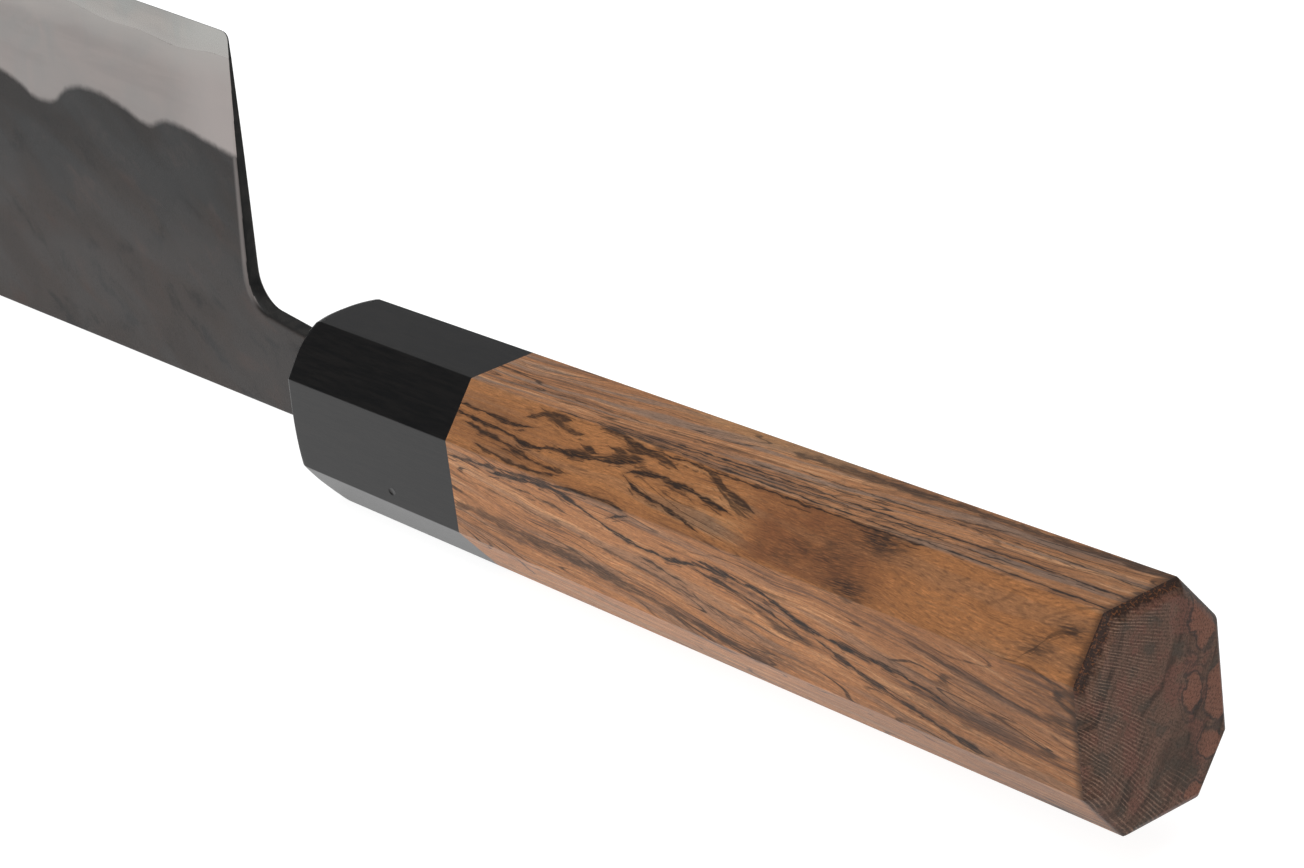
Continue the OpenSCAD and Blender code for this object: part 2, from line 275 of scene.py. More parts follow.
class BladeForm:
    """Outlines and thickness of the blade, from the settings."""

    def __init__(self, s):
        self.s = s
        self.heel_z = s.heel_h - s.spine_off
        self.tip_x = s.neck_l + s.blade_l
        self.tip_z = s.tip_rise - s.spine_off
        self.tip_h = TIP_SHARE * s.heel_h
        self.lean = s.choil_lean / (self.heel_z - self.neck_top(s.neck_l))
        self.rear = self.rear_line()

    def neck_top(self, x):
        s = self.s
        return s.neck_h - s.spine_off + s.neck_rise / s.neck_l * x

    def share(self, x):
        return np.clip((x - self.s.neck_l) / self.s.blade_l, 0, 1)

    def spine_z(self, x):
        rise = np.maximum(0, (self.share(x) - RISE_FROM) / (1 - RISE_FROM)) ** 2
        return self.s.tip_rise * rise - self.s.spine_off

    def edge_z(self, x):
        u = self.share(x)
        low = self.tip_z + self.tip_h
        full = low + (self.heel_z - low) * (1 - u ** 4) + self.s.edge_belly * u * (1 - u)
        return full - self.s.edge_in

    def height(self, x):
        return self.edge_z(x) - self.spine_z(x)

    def show_z(self, x):
        """The line along which the core comes out of its cladding, a little wavy."""
        h = self.height(x)
        wave = sum(high * np.sin(x / long + phase) for high, long, phase in WAVES)
        return self.edge_z(x) - self.s.core_show / self.s.heel_h * h + wave * h / self.s.heel_h

    def half_spine(self, x):
        s = self.s
        taper = (s.spine_t - s.tang_end_t) / (s.tang_l - s.neck_seat)
        return (s.spine_t - s.spine_taper * self.share(x)
                - taper * np.maximum(0, -x - s.neck_seat)) / 2

    def half_core(self, x, z):
        s = self.s
        share = (z + s.spine_off) / (self.heel_z - s.core_show + s.spine_off)
        return (s.core_t - s.core_taper * self.share(x)
                - (s.core_t - s.core_show_t) * share) / 2

    def half(self, x, z):
        """Half thickness of the whole blade at a place."""
        s = self.s
        low, top = self.spine_z(x), self.edge_z(x)
        h = top - low
        spine = self.half_spine(x)
        shoulder = spine * s.grind_t / s.spine_t
        bare = self.half_core(x, top - s.core_show / s.heel_h * h)
        edge = s.edge_t / 2 * bare / (s.core_show_t / 2)
        v = (z - low) / h
        a, b = 1 - s.grind_h / s.heel_h, 1 - s.core_show / s.heel_h
        y = np.where(v < a, spine + (shoulder - spine) * v / a,
                     np.where(v < b, shoulder + (bare - shoulder) * (v - a) / (b - a),
                              bare + (edge - bare) * (v - b) / (1 - b)))
        return np.maximum(y, edge)

    def rear_line(self):
        """Neck's upper side, choil and the heel's round, from the tang to the edge."""
        s = self.s
        slope = s.neck_rise / s.neck_l
        wall = s.neck_l + self.lean * self.heel_z - s.choil_r * math.hypot(1, self.lean)
        lift = self.neck_top(0) + s.choil_r * math.hypot(1, slope)
        bend_z = (lift + slope * wall) / (1 + slope * self.lean)
        bend_x = wall - self.lean * bend_z
        shoulder = EASE - s.neck_seat
        line = [(-s.tang_l, s.tang_end_h / 2), (-s.neck_seat, s.tang_root_h / 2),
                (shoulder, self.neck_top(shoulder))]
        line += [(x, self.neck_top(x)) for x in np.linspace(NECK_FROM, NECK_TO, NECK_STEPS)]
        self.bend = (len(line), len(line) + BEND_STEPS)
        for t in np.linspace(math.atan(slope) - math.pi / 2, math.atan(self.lean),
                             BEND_STEPS + 1):
            line.append((bend_x + s.choil_r * math.cos(t), bend_z + s.choil_r * math.sin(t)))
        round_x = s.neck_l + s.heel_r * (self.lean + math.hypot(1, self.lean))
        round_z = self.heel_z - s.heel_r
        turn = np.linspace(math.pi + math.atan(self.lean), HEEL_END, HEEL_STEPS)
        arc = [(round_x + s.heel_r * math.cos(t), round_z + s.heel_r * math.sin(t)) for t in turn]
        start_x, start_z = line[-1]
        for t in np.linspace(0, 1, BACK_STEPS)[1:-1]:
            line.append((start_x + (arc[0][0] - start_x) * t, start_z + (arc[0][1] - start_z) * t))
        return np.array(line + arc)

    def rear_distance(self, x, z):
        """Distance from a place to the line of neck, choil and heel."""
        line = self.rear[2:]
        a, b = line[:-1], line[1:]
        p = np.stack([x, z], -1)[..., None, :]
        t = ((p - a) * (b - a)).sum(-1) / ((b - a) ** 2).sum(-1)
        near = a + np.clip(t, 0, 1)[..., None] * (b - a)
        return np.sqrt(((p - near) ** 2).sum(-1)).min(-1)

    def columns(self, top_line):
        """Low and high ends of the mesh's columns: the spine, and the rear line and top_line."""
        s = self.s
        rear = self.rear
        split = top_line(rear[:, 0])
        rear = rear[rear[:, 1] <= np.maximum(split, rear[:self.bend[1], 1].max())]
        start = rear[-1, 0] + FIRST_COLUMN
        along = 1 - (1 - np.linspace(0, 1, EDGE_STEPS)) ** CROWD
        xs = start + (self.tip_x - start) * along
        high = np.concatenate([rear, np.stack([xs, top_line(xs)], -1)])
        run = np.concatenate([[0], np.cumsum(np.hypot(*np.diff(high[2:], axis=0).T))])
        low_x = high[:, 0].copy()
        start_bend, end_bend = self.bend
        end_rear = len(rear) - 1
        foot = s.neck_l + self.lean * s.heel_h + FOOT_AFTER
        low_x[start_bend:end_rear + 1] = np.interp(
            run[start_bend - 2:end_rear - 1],
            run[[start_bend - 2, end_bend - 2, end_rear - 2]],
            [high[start_bend, 0], foot, foot + FOOT_SPREAD])
        reach = low_x[end_rear]
        for n in range(end_rear + 1, len(high)):
            x = high[n, 0]
            even = reach + (self.tip_x - reach) * (x - start) / (self.tip_x - start)
            t = min(1, (x - start) / UPRIGHT_AFTER)
            low_x[n] = max(low_x[n - 1] + LEAST_GAP, even * (1 - t) + x * t)
        low_x = np.minimum(low_x, self.tip_x)
        low_z = self.spine_z(low_x)
        low_z[0], low_z[1] = -s.tang_end_h / 2, -s.tang_root_h / 2
        return np.stack([low_x, low_z], -1), high


def spread_rows(near_low, near_high, middle, lengths):
    """Places of the rows along each column: fixed distances at both ends, even in between."""
    low = near_low[None, :] / lengths[:, None]
    high = 1 - near_high[None, ::-1] / lengths[:, None]
    low = np.minimum(low, END_SHARE * np.linspace(0, 1, low.shape[1])[None, :])
    high = np.maximum(high, 1 - END_SHARE * np.linspace(1, 0, high.shape[1])[None, :])
    t = np.linspace(0, 1, middle + 2)[1:-1]
    mid = low[:, -1:] + (high[:, :1] - low[:, -1:]) * t[None, :]
    return np.concatenate([low, mid, high], 1)


def round_off(y, d, r):
    """Half thickness y taken in by a round of radius r at a distance d from the corner."""
    inside = np.clip(r - d, 0, r)
    return y - (r - np.sqrt(np.maximum(0, r * r - inside * inside)))


def slab(name, x, z, outer, inner, sharp, **values):
    """Closed solid over a grid of places, from one y to another, with values on its points."""
    rows, cols = x.shape
    n = rows * cols
    points = np.concatenate([np.stack([x, y, z], -1).reshape(-1, 3) for y in (outer, inner)])
    faces = grid_faces(rows, cols, 0) + grid_faces(rows, cols, n, flip=True)
    rim = ([j * cols for j in range(rows)]
           + [(rows - 1) * cols + i for i in range(1, cols)]
           + [j * cols + cols - 1 for j in range(rows - 2, -1, -1)]
           + [i for i in range(cols - 2, 0, -1)])
    obj = mesh_object(name, points, faces + [(a, b, n + b, n + a) for a, b in pairs(rim)])
    for key, value in values.items():
        add_values(obj, key, np.tile(value.reshape(-1), 2))
    bm = bmesh.new()
    bm.from_mesh(obj.data)
    bmesh.ops.remove_doubles(bm, verts=bm.verts, dist=SAME_PLACE)
    bmesh.ops.recalc_face_normals(bm, faces=bm.faces)
    bm.to_mesh(obj.data)
    bm.free()
    smooth(obj, sharp)
    return obj


def grid_places(low, high, t):
    """X and Z of the grid's points, at the shares t of the way from low to high."""
    return [low[:, None, k] + (high - low)[:, None, k] * t for k in (0, 1)]


def cladding_piece(form, side):
    """One side's cladding: outer face with rounded spine, neck and choil, inner face, walls."""
    s = form.s
    low, high = form.columns(form.show_z)
    t = spread_rows(EDGE_ROWS[:-1], EDGE_ROWS, CLADDING_ROWS, np.hypot(*(high - low).T))
    x, z = grid_places(low, high, t)
    core = form.half_core(x, z)
    y = form.half(x, z)
    rear = np.full(x.shape, s.blade_l)
    close = x < s.neck_l + ROUND_REACH
    rear[close] = form.rear_distance(x[close], z[close])
    inside = x < -s.neck_seat
    spine_round = np.minimum(s.spine_round, SPINE_SHARE * y)
    y = np.where(inside, y, round_off(y, z - form.spine_z(x), spine_round))
    choil_round = np.minimum(s.choil_round, CHOIL_SHARE * (y - core))
    y = np.where(inside, y, round_off(y, rear, choil_round))
    y = np.maximum(y, core + LEAST_CLADDING)
    return slab("cladding_right_steel" if side > 0 else "cladding_left_steel", x, z, side * y,
                side * core, SHARP_CLADDING, to_core=(form.show_z(x) - z) / MM,
                rim=np.clip(1 - rear / (RIM_REACH * s.choil_round), 0, 1))


def core_piece(form):
    """The core steel, flush in the choil and bare in a bevelled band along the edge."""
    low, high = form.columns(form.edge_z)
    show = form.show_z(high[:, 0])
    bare = np.clip((high[:, 1] - show) / np.maximum((high - low)[:, 1], MM), *BARE_SHARE)
    hidden = np.linspace(0, 1, HIDDEN_ROWS)[None, :] * (1 - bare[:, None])
    band = 1 - bare[:, None] * np.linspace(1, 0, BAND_ROWS)[None, 1:]
    x, z = grid_places(low, high, np.concatenate([hidden, band], 1))
    y = np.where(z >= form.show_z(x) - LEAST_GAP, form.half(x, z), form.half_core(x, z))
    y = np.maximum(y, LEAST_CORE)
    return slab("core_steel_band", x, z, y, -y, SHARP_CORE, to_core=(form.show_z(x) - z) / MM)


# A wall's normal points to the side by less than WALL_SIDEWAYS, and backwards or up by more
# than WALL_FACING. The neck's upper side is under NECK_UNDER on the table and behind
# NECK_BEHIND along it.
WALL_SIDEWAYS, WALL_FACING = 0.55, 0.3
NECK_UNDER, NECK_BEHIND = 30 * MM, -20 * MM


def mark_walls(obj):
    """Gives the choil's wall and the neck's upper side their own material place."""
    heights = [v.co.z for v in obj.data.vertices]
    for face in obj.data.polygons:
        x, y, z = face.normal
        low = heights[face.vertices[0]] < NECK_UNDER and face.center.x < NECK_BEHIND
        if abs(y) < WALL_SIDEWAYS and (x < -WALL_FACING or (z > WALL_FACING and low)):
            face.material_index = 1


# The handle's form

RIDGE_POINTS = 5
FACET_POINTS = 12
FERRULE_POINTS = 10
FLAT_RINGS, FRONT_RINGS, BODY_RINGS, CHAMFER_RINGS = 5, 9, 57, 7
BORE_POINTS, MOUTH_POINTS = 64, 48

# Share of the butt's chamfer that is round, and the place behind the ferrule's front where
# its flat rings end, in front rounds
CHAMFER_ROUND = 0.4
FRONT_CLEAR = 3


def octagon(s, back, inset):
    """Corners of the octagon at a distance back from the ferrule's front, in Y and Z.

    They start at the seam, the ridge between the lower flat and the left lower facet.
    """
    across, up = s.corner_w, s.corner_h
    w = (s.front_w + (s.butt_w - s.front_w) * back / s.handle_l) / 2
    h = (s.front_h + (s.butt_h - s.front_h) * back / s.handle_l) / 2
    c = up * w + across * (h - up) - inset * math.hypot(across, up)
    a, b = (c - across * (h - inset)) / up, (c - up * (w - inset)) / across
    w, h = w - inset, h - inset
    return np.array([(-a, -h), (a, -h), (w, -b), (w, b), (a, h), (-a, h), (-w, b), (-w, -b)])


def soft_octagon(s, back, inset, step):
    """Octagon ring with rounded ridges. Each flat is cut into the same number of steps.

    Also gives each point's share of the way from its flat's middle to the ridge.
    """
    corners, r = octagon(s, back, inset), s.ridge_round
    u, v = (np.roll(corners, k, axis=0) - corners for k in (1, -1))
    u, v = (way / np.linalg.norm(way, axis=1, keepdims=True) for way in (u, v))
    half = np.arccos((u * v).sum(1, keepdims=True)) / 2
    middle = (u + v) / np.linalg.norm(u + v, axis=1, keepdims=True)
    centre = corners + middle * r / np.sin(half)
    start = corners + u * r / np.tan(half) - centre
    angle = (np.arctan2(start[:, 1:], start[:, :1])
             + (math.pi - 2 * half) * np.linspace(0, 1, RIDGE_POINTS))
    arcs = centre[:, None] + r * np.stack([np.cos(angle), np.sin(angle)], -1)
    along = np.linspace(0, 1, step + 1)[1:-1]
    ring = []
    for arc, following in zip(arcs, np.roll(arcs, -1, axis=0)):
        ring += [*arc, *(arc[-1] + (following[0] - arc[-1]) * along[:, None])]
    shares = np.concatenate([np.ones(RIDGE_POINTS), abs(2 * along - 1)])
    return np.array(ring), np.tile(shares, len(corners))


def girth_places(s, ring):
    """Place of each ring point round the handle, from the middle of the right upper facet."""
    run = np.concatenate([[0], np.cumsum(np.linalg.norm(np.diff(ring, axis=0), axis=1))])
    middle = np.array([s.front_w / 2 - s.corner_w / 2, s.front_h / 2 - s.corner_h / 2])
    return -(run - run[np.linalg.norm(ring - middle, axis=1).argmin()])


# Radius of the ferrule's front edge, as a share of the set radius: FRONT_MIDDLE in the middle
# of the flats at FRONT_HEIGHTS, up and down alike, and FRONT_RIDGES, what the ridges add at
# RIDGE_HEIGHTS. Heights are shares of half the height. RIDGE_FADE is the power by which the
# ridges' part fades away from them. The edge's inset grows with the radius to the power
# INSET_POWER.
FRONT_HEIGHTS, FRONT_MIDDLE = [0, 0.5, 0.74, 1], [0.6, 0.8, 0.6, 1.7]
RIDGE_HEIGHTS, FRONT_RIDGES = [-1, -0.48, 0.48, 1], [1.2, 1.0, 0.3, 1.8]
RIDGE_FADE, INSET_POWER = 2.5, 0.6


def front_rings(s, step, turns):
    """Rings round the ferrule's front, whose edge is rounder towards the ridges."""
    plain, shares = soft_octagon(s, 0, 0, step)
    inward = (soft_octagon(s, 0, MM, step)[0] - plain) / MM
    height = plain[:, 1] / plain[:, 1].max()
    middle = np.interp(abs(height), FRONT_HEIGHTS, FRONT_MIDDLE)
    ridge = np.interp(height, RIDGE_HEIGHTS, FRONT_RIDGES)
    radius = s.front_round * (middle + ridge * shares ** RIDGE_FADE)
    rings = []
    for a in np.linspace(0, math.pi / 2, turns):
        inset = s.front_round * (1 - math.cos(a)) * (radius / s.front_round) ** INSET_POWER
        back = radius * (1 - math.sin(a))
        rings.append(np.column_stack([-back, plain + inward * inset[:, None]]))
    return rings


def upright(x, ring):
    """A ring of places in Y and Z, stood at a place along the handle."""
    return np.column_stack([np.full(len(ring), x), ring])


def handle_rings(s, profile, step):
    return [upright(-back, soft_octagon(s, back, inset, step)[0]) for back, inset in profile]


def circle_ring(x, r, n):
    t = np.linspace(0, 2 * math.pi, n, endpoint=False)
    return upright(x, np.column_stack([r * np.cos(t), r * np.sin(t)]))


def slot_ring(s, blade, x, n):
    """The mouth's outline, with round ends."""
    r = s.mouth_w / 2
    middle = blade.neck_h / 2 - blade.spine_off
    reach = s.mouth_h / 2 - r
    t = np.linspace(0, math.pi, n // 2)
    top = [(r * math.cos(a), middle + reach + r * math.sin(a)) for a in t]
    low = [(-r * math.cos(a), middle - reach - r * math.sin(a)) for a in t]
    return upright(x, top + low)


def tube_mesh(name, loops, caps):
    """Solid from chains of loops. caps are pairs of loops, or one loop, closed by flat faces."""
    bm = bmesh.new()
    rings = []
    for chain in loops:
        made = [[bm.verts.new(p) for p in ring] for ring in chain]
        for lower, upper in zip(made[:-1], made[1:]):
            for (a, b), (c, d) in zip(pairs(lower), pairs(upper)):
                bm.faces.new((a, b, d, c))
        rings.append(made)
    for cap in caps:
        ends = [rings[chain][end] for chain, end in cap]
        if len(ends) == 1:
            bm.faces.new(ends[0])
        else:
            edges = [bm.edges.get(pair) for ring in ends for pair in pairs(ring)]
            bmesh.ops.triangle_fill(bm, edges=edges, use_beauty=True)
    bmesh.ops.recalc_face_normals(bm, faces=bm.faces)
    mesh = bpy.data.meshes.new(name)
    bm.to_mesh(mesh)
    bm.free()
    places = np.zeros(len(mesh.vertices) * 3)
    mesh.vertices.foreach_get("co", places)
    mesh.vertices.foreach_set("co", stand(places.reshape(-1, 3)).reshape(-1))
    mesh.update()
    return new_object(name, mesh)


# Shader building


def is_vector(value):
    return value.socket.type == "VECTOR" if isinstance(value, Value) else isinstance(value, tuple)


class Value:
    """A number or a vector in a shader. Arithmetic on it adds math nodes."""

    def __init__(self, tree, socket):
        self.socket = socket
        self.make = tree.vector if socket.type == "VECTOR" else tree.math

    def __add__(self, other):
        return self.make("ADD", self, other)

    def __sub__(self, other):
        return self.make("SUBTRACT", self, other)

    def __rsub__(self, other):
        return self.make("SUBTRACT", other, self)

    def __mul__(self, other):
        scaled = is_vector(self) and not is_vector(other)
        return self.make("SCALE" if scaled else "MULTIPLY", self, other)

    def __truediv__(self, other):
        return self.make("DIVIDE", self, other)

    def __abs__(self):
        return self.make("ABSOLUTE", self)

    __radd__, __rmul__ = __add__, __mul__


class Tree:
    """Short calls for making and linking shader nodes."""

    def __init__(self, owner):
        self.nodes, self.links = owner.nodes, owner.links

    def node(self, kind, sockets=None, **settings):
        n = self.nodes.new(kind)
        for key, value in settings.items():
            setattr(n, key, value)
        for key, value in (sockets or {}).items():
            self.put(n.inputs[key], value)
        return n

    def put(self, socket, value):
        if isinstance(value, Value):
            self.links.new(value.socket, socket)
        elif socket.type == "RGBA" and len(value) == 3:
            socket.default_value = (*value, 1)
        else:
            socket.default_value = value

    def out(self, n, key=0):
        return Value(self, n.outputs[key])

    def outs(self, n):
        return {socket.name: Value(self, socket) for socket in n.outputs}

    def math(self, operation, *values, clamp=False):
        return self.out(self.node("ShaderNodeMath", dict(enumerate(values)),
                                  operation=operation, use_clamp=clamp))

    def vector(self, operation, a, b=(0, 0, 0)):
        second = "Scale" if operation == "SCALE" else 1
        n = self.node("ShaderNodeVectorMath", {0: a, second: b}, operation=operation)
        return self.out(n, "Value" if operation == "LENGTH" else "Vector")

    def highest(self, *values):
        return reduce(lambda a, b: self.math("MAXIMUM", a, b), values)

    def attribute(self, name):
        return self.out(self.node("ShaderNodeAttribute", attribute_name=name), "Fac")

    def split(self, v):
        return [Value(self, part) for part in self.node("ShaderNodeSeparateXYZ", {0: v}).outputs]

    def join(self, x, y, z=0.0):
        return self.out(self.node("ShaderNodeCombineXYZ", {0: x, 1: y, 2: z}))

    def noise(self, vector, detail=2.0, rough=0.5, distort=0.0, scale=1.0):
        return self.out(self.node("ShaderNodeTexNoise", {
            "Vector": vector, "Scale": scale, "Detail": detail, "Roughness": rough,
            "Distortion": distort}), "Fac")

    def step(self, value, low, high, to_low=0.0, to_high=1.0):
        """Goes smoothly from to_low, where the value is low, to to_high, where it is high."""
        return self.out(self.node("ShaderNodeMapRange", {
            "Value": value, "From Min": low, "From Max": high, "To Min": to_low,
            "To Max": to_high}, interpolation_type="SMOOTHSTEP"))

    def mix(self, factor, a, b, blend="MIX"):
        return self.out(self.node("ShaderNodeMix", {"Factor": factor, 6: a, 7: b},
                                  data_type="RGBA", blend_type=blend), 2)

    def paint(self, shade, *layers):
        """Lays colours over a shade, each with its own mask."""
        for mask, colour_over in layers:
            shade = self.mix(mask, shade, colour_over)
        return shade

    def ramp(self, factor, stops):
        n = self.node("ShaderNodeValToRGB", {"Fac": factor})
        band = n.color_ramp.elements
        while len(band) < len(stops):
            band.new(0.5)
        for element, (place, shade) in zip(band, stops):
            element.position = place
            element.color = (*shade, 1)
        return self.out(n)

    def curve(self, share, places, low, high, handle):
        """A drawn curve of values between low and high, over a share from 0 to 1."""
        n = self.node("ShaderNodeFloatCurve", {"Factor": 1.0, "Value": share})
        points = n.mapping.curves[0].points
        while len(points) < len(places):
            points.new(0.5, 0.5)
        for point, (along, value) in zip(points, places):
            point.location = (along, (value - low) / (high - low))
            point.handle_type = handle
        n.mapping.update()
        return self.math("MULTIPLY_ADD", self.out(n), high - low, low)


class MaterialTree(Tree):
    """A new material's tree, its shader's sockets and the places on the knife."""

    def __init__(self, name):
        self.material = bpy.data.materials.new(name)
        self.material.use_nodes = True
        super().__init__(self.material.node_tree)
        self.shader = self.nodes["Principled BSDF"].inputs

    def finish(self, shade, rough, height, strength, distance):
        """Links colour, roughness and a bump of the height, which is in millimetres."""
        self.put(self.shader["Base Color"], shade)
        self.put(self.shader["Roughness"], rough)
        self.put(self.shader["Normal"], self.out(self.node("ShaderNodeBump", {
            "Height": height, "Strength": strength, "Distance": distance * MM})))
        return self.material


FLOAT, VECTOR, COLOUR = "NodeSocketFloat", "NodeSocketVector", "NodeSocketColor"
PLACE = {"Place": (VECTOR, (0, 0, 0))}


def shader_group(inputs, outputs):
    """Makes a function that fills a node group into one that puts the group into a tree.

    The group is made once, with the function's name.
    """
    def wrap(fill):
        def make():
            group = bpy.data.node_groups.new(fill.__name__, "ShaderNodeTree")
            for label, (kind, default) in inputs.items():
                socket = group.interface.new_socket(label, in_out="INPUT", socket_type=kind)
                socket.default_value = default
            for label, kind in outputs.items():
                group.interface.new_socket(label, in_out="OUTPUT", socket_type=kind)
            t = Tree(group)
            t.node("NodeGroupOutput", fill(t, t.outs(t.node("NodeGroupInput"))))
            return group

        def use(t, **sockets):
            group = bpy.data.node_groups.get(fill.__name__) or make()
            return t.outs(t.node("ShaderNodeGroup", sockets, node_tree=group))
        return use
    return wrap


@shader_group({}, {"Place": VECTOR})
def knife_space(t, given):
    """Places on the surface in the knife's own frame, in millimetres."""
    back = standing().inverted()
    place = t.out(t.node("ShaderNodeTexCoord"), "Object")
    turned = t.out(t.node("ShaderNodeVectorRotate", {
        "Vector": place, "Rotation": back.to_euler("XYZ")}, rotation_type="EULER_XYZ"))
    return {"Place": (turned + tuple(back.translation)) * (1 / MM)}


@shader_group({**PLACE, "Stretch": (VECTOR, (1, 1, 1)), "Contrast": (FLOAT, 1.0)},
              {"Height": FLOAT, "Mask": FLOAT})
def fine_grain(t, given):
    """Fine streaks drawn out along one direction, as a height and a mask."""
    drawn = given["Place"] * given["Stretch"]
    both = t.noise(drawn, 3.0, 0.6) * 0.6 + t.noise(drawn, scale=2.7) * 0.4
    spread = (both - 0.5) * given["Contrast"]
    return {"Height": spread + 0.5, "Mask": t.step(spread, -0.12, 0.12)}


@shader_group({**PLACE, "Size": (FLOAT, 10.0), "Warp": (FLOAT, 0.5)},
              {"Mask": FLOAT, "Speckle": FLOAT})
def clouds(t, given):
    """Soft clouds as a mask from 0 to 1, and a fine speckle."""
    size = given["Size"]
    soft = t.noise(given["Place"] / t.join(size, size, size), 3.0, 0.45, given["Warp"])
    return {"Mask": t.step(soft, 0.36, 0.66),
            "Speckle": t.noise(given["Place"], 3.0, 0.6, scale=5.5)}


@shader_group({**PLACE, "Steel": (COLOUR, (0.3, 0.3, 0.3, 1)), "Base": (FLOAT, 0.25)},
              {"Colour": COLOUR, "Roughness": FLOAT, "Height": FLOAT})
def ground_steel(t, given):
    """Ground steel with fine lines from spine to edge and a little cloudiness."""
    place, steel = given["Place"], given["Steel"]

    def tinted(*factors):
        return t.mix(1.0, steel, factors, "MULTIPLY")

    x, y, z = t.split(place)
    lines = fine_grain(t, Place=place, Stretch=(7.0, 0.3, 0.32))
    soft = clouds(t, Place=place, Size=9.0, Warp=1.2)
    drawn = t.noise(t.join(x * 0.07, y, z * 0.42), 3.0, 0.5, 0.3)
    shade = t.paint(t.mix(soft["Mask"], tinted(1.02, 0.98, 0.97), tinted(0.9, 0.93, 0.94)),
                    (t.step(drawn, 0.36, 0.64, 0.0, 0.5), tinted(0.78, 0.77, 0.78)),
                    (lines["Mask"] * 0.06, (0.16, 0.15, 0.145)))
    return {"Colour": shade, "Roughness": given["Base"] + lines["Height"] * 0.10,
            "Height": lines["Height"]}


# The forge scale's upper end: share of the blade's length from the heel, and height over the
# handle's axis in millimetres, on a curve from 0 to SCALE_TOP
SCALE_TOP = 40.0
SCALE_LINE = [(0.0, 29.6), (0.034, 30.9), (0.072, 31.9), (0.0835, 31.3), (0.093, 30.5),
              (0.12, 31.9), (0.153, 32.9), (0.172, 32.4), (0.188, 30.6), (0.2, 29.1),
              (0.214, 28.9), (0.232, 30.3), (0.262, 31.7), (0.31, 31.9), (0.335, 30.4),
              (0.36, 29.2), (0.4, 30.6), (0.46, 31.4), (0.5, 29.2), (0.53, 28.0),
              (0.6, 29.0), (0.66, 27.2), (0.7, 25.4), (0.78, 24.6), (0.83, 21.9),
              (0.9, 18.4), (0.95, 14.6), (1.0, 8.0)]


def cladding_material(s):
    """Forge scale with brown clouds, ground bare in a band towards the edge, with painted shade
    and a painted highlight on the choil's round.
    """
    t = MaterialTree("forge_scale_cladding")
    place = knife_space(t)["Place"]
    x, y, z = t.split(place)
    share = t.math("DIVIDE", x - s.neck_l / MM, s.blade_l / MM, clamp=True)
    line = t.curve(share, SCALE_LINE, 0.0, SCALE_TOP, "AUTO_CLAMPED")
    over = z - (line + (t.noise(place, 4.0, 0.6, scale=0.9) - 0.5) * 0.6)

    along, across = x * 0.88 + z * 0.47, z * 0.88 - x * 0.47
    drift = t.noise(t.join(along * 0.034, y, across * 0.12), 4.0, 0.5, 0.5)
    rust = t.noise(t.join(along * 0.11, y, across * 0.2), 4.0, 0.6, 0.3)
    soft = clouds(t, Place=place, Size=7.0, Warp=0.8)
    rim = t.attribute("rim")
    below_ground = t.highest(t.step(over, -1.6, -0.3, 0.0, 0.6),
                             t.step(over, -18.0, -2.0, 0.0, 0.62))
    scale = t.paint(
        t.mix(t.step(drift, 0.42, 0.58), s.scale_colour, s.cloud_colour),
        (t.step(over, -24.0, -4.0, 0.6, 0.0), (0.046, 0.037, 0.033)),
        (soft["Mask"] * 0.35, (0.026, 0.023, 0.022)),
        (t.step(rust, 0.52, 0.74, 0.0, 0.7), (0.050, 0.031, 0.025)),
        (t.step(rust, 0.30, 0.46, 0.6, 0.0), (0.007, 0.008, 0.009)),
        (below_ground, (0.008, 0.008, 0.008)),
        (t.step(soft["Speckle"], 0.56, 0.72) * 0.4, (0.008, 0.008, 0.008)),
        # Painted shade: the rounded rim low in the choil and along the neck is darkened
        (t.step(rim, 0.55, 0.85) * t.step(z, 8.5, 10.5, 0.85, 0.0), (0.006, 0.006, 0.006)))

    ground = ground_steel(t, Place=place, Steel=s.steel_colour, Base=0.27)
    steel = t.paint(
        ground["Colour"],
        (t.step(over, 0.0, 12.0, 0.5, 0.0), (0.25, 0.222, 0.212)),
        (t.step(x, 22.0, 34.0, 0.7, 0.0), (0.335, 0.30, 0.288)),
        (t.step(t.attribute("to_core"), 0.0, 5.0, 0.6, 0.0), (0.345, 0.328, 0.312)))

    # Bare steel on the choil's round, partly wear through the scale and partly a painted
    # highlight. It is brightest inside the round, weaker at the wall, and only above the neck.
    rubbed_and_highlight = t.step(rim, 0.10, 0.80) * t.step(z, 8.5, 10.5, 0.0, 0.5)
    rubbed_and_highlight = rubbed_and_highlight * t.step(rim, 0.80, 1.0, 1.0, 0.4) * t.step(drift, 0.30, 0.55, 0.6, 1.0)
    metal = t.highest(t.step(over, -0.55, 0.75), rubbed_and_highlight)
    t.put(t.shader["Metallic"], metal)
    t.shader["Specular IOR Level"].default_value = 0.26
    scale_rough = t.step(drift, 0.40, 0.60, 0.34, 0.46) + soft["Speckle"] * 0.22
    rough = scale_rough + metal * (ground["Roughness"] - scale_rough)
    height = (1.0 - metal) * soft["Speckle"] * 0.9 + ground["Height"] * 0.12
    return t.finish(t.mix(metal, scale, steel), rough, height, 0.35, 0.08)


def core_material(s):
    """Bare core steel, lighter towards the heel."""
    t = MaterialTree("core_steel_satin")
    place = knife_space(t)["Place"]
    ground = ground_steel(t, Place=place, Steel=s.core_colour, Base=0.22)
    steel = t.paint(
        ground["Colour"],
        (t.step(t.split(place)[0], 21.0, 33.0, 0.6, 0.0), (0.40, 0.395, 0.375)),
        (t.step(t.attribute("to_core"), -2.2, 0.0, 0.0, 0.6), (0.345, 0.328, 0.312)))
    t.shader["Metallic"].default_value = 1.0
    return t.finish(steel, ground["Roughness"], ground["Height"], 0.06, 0.03)


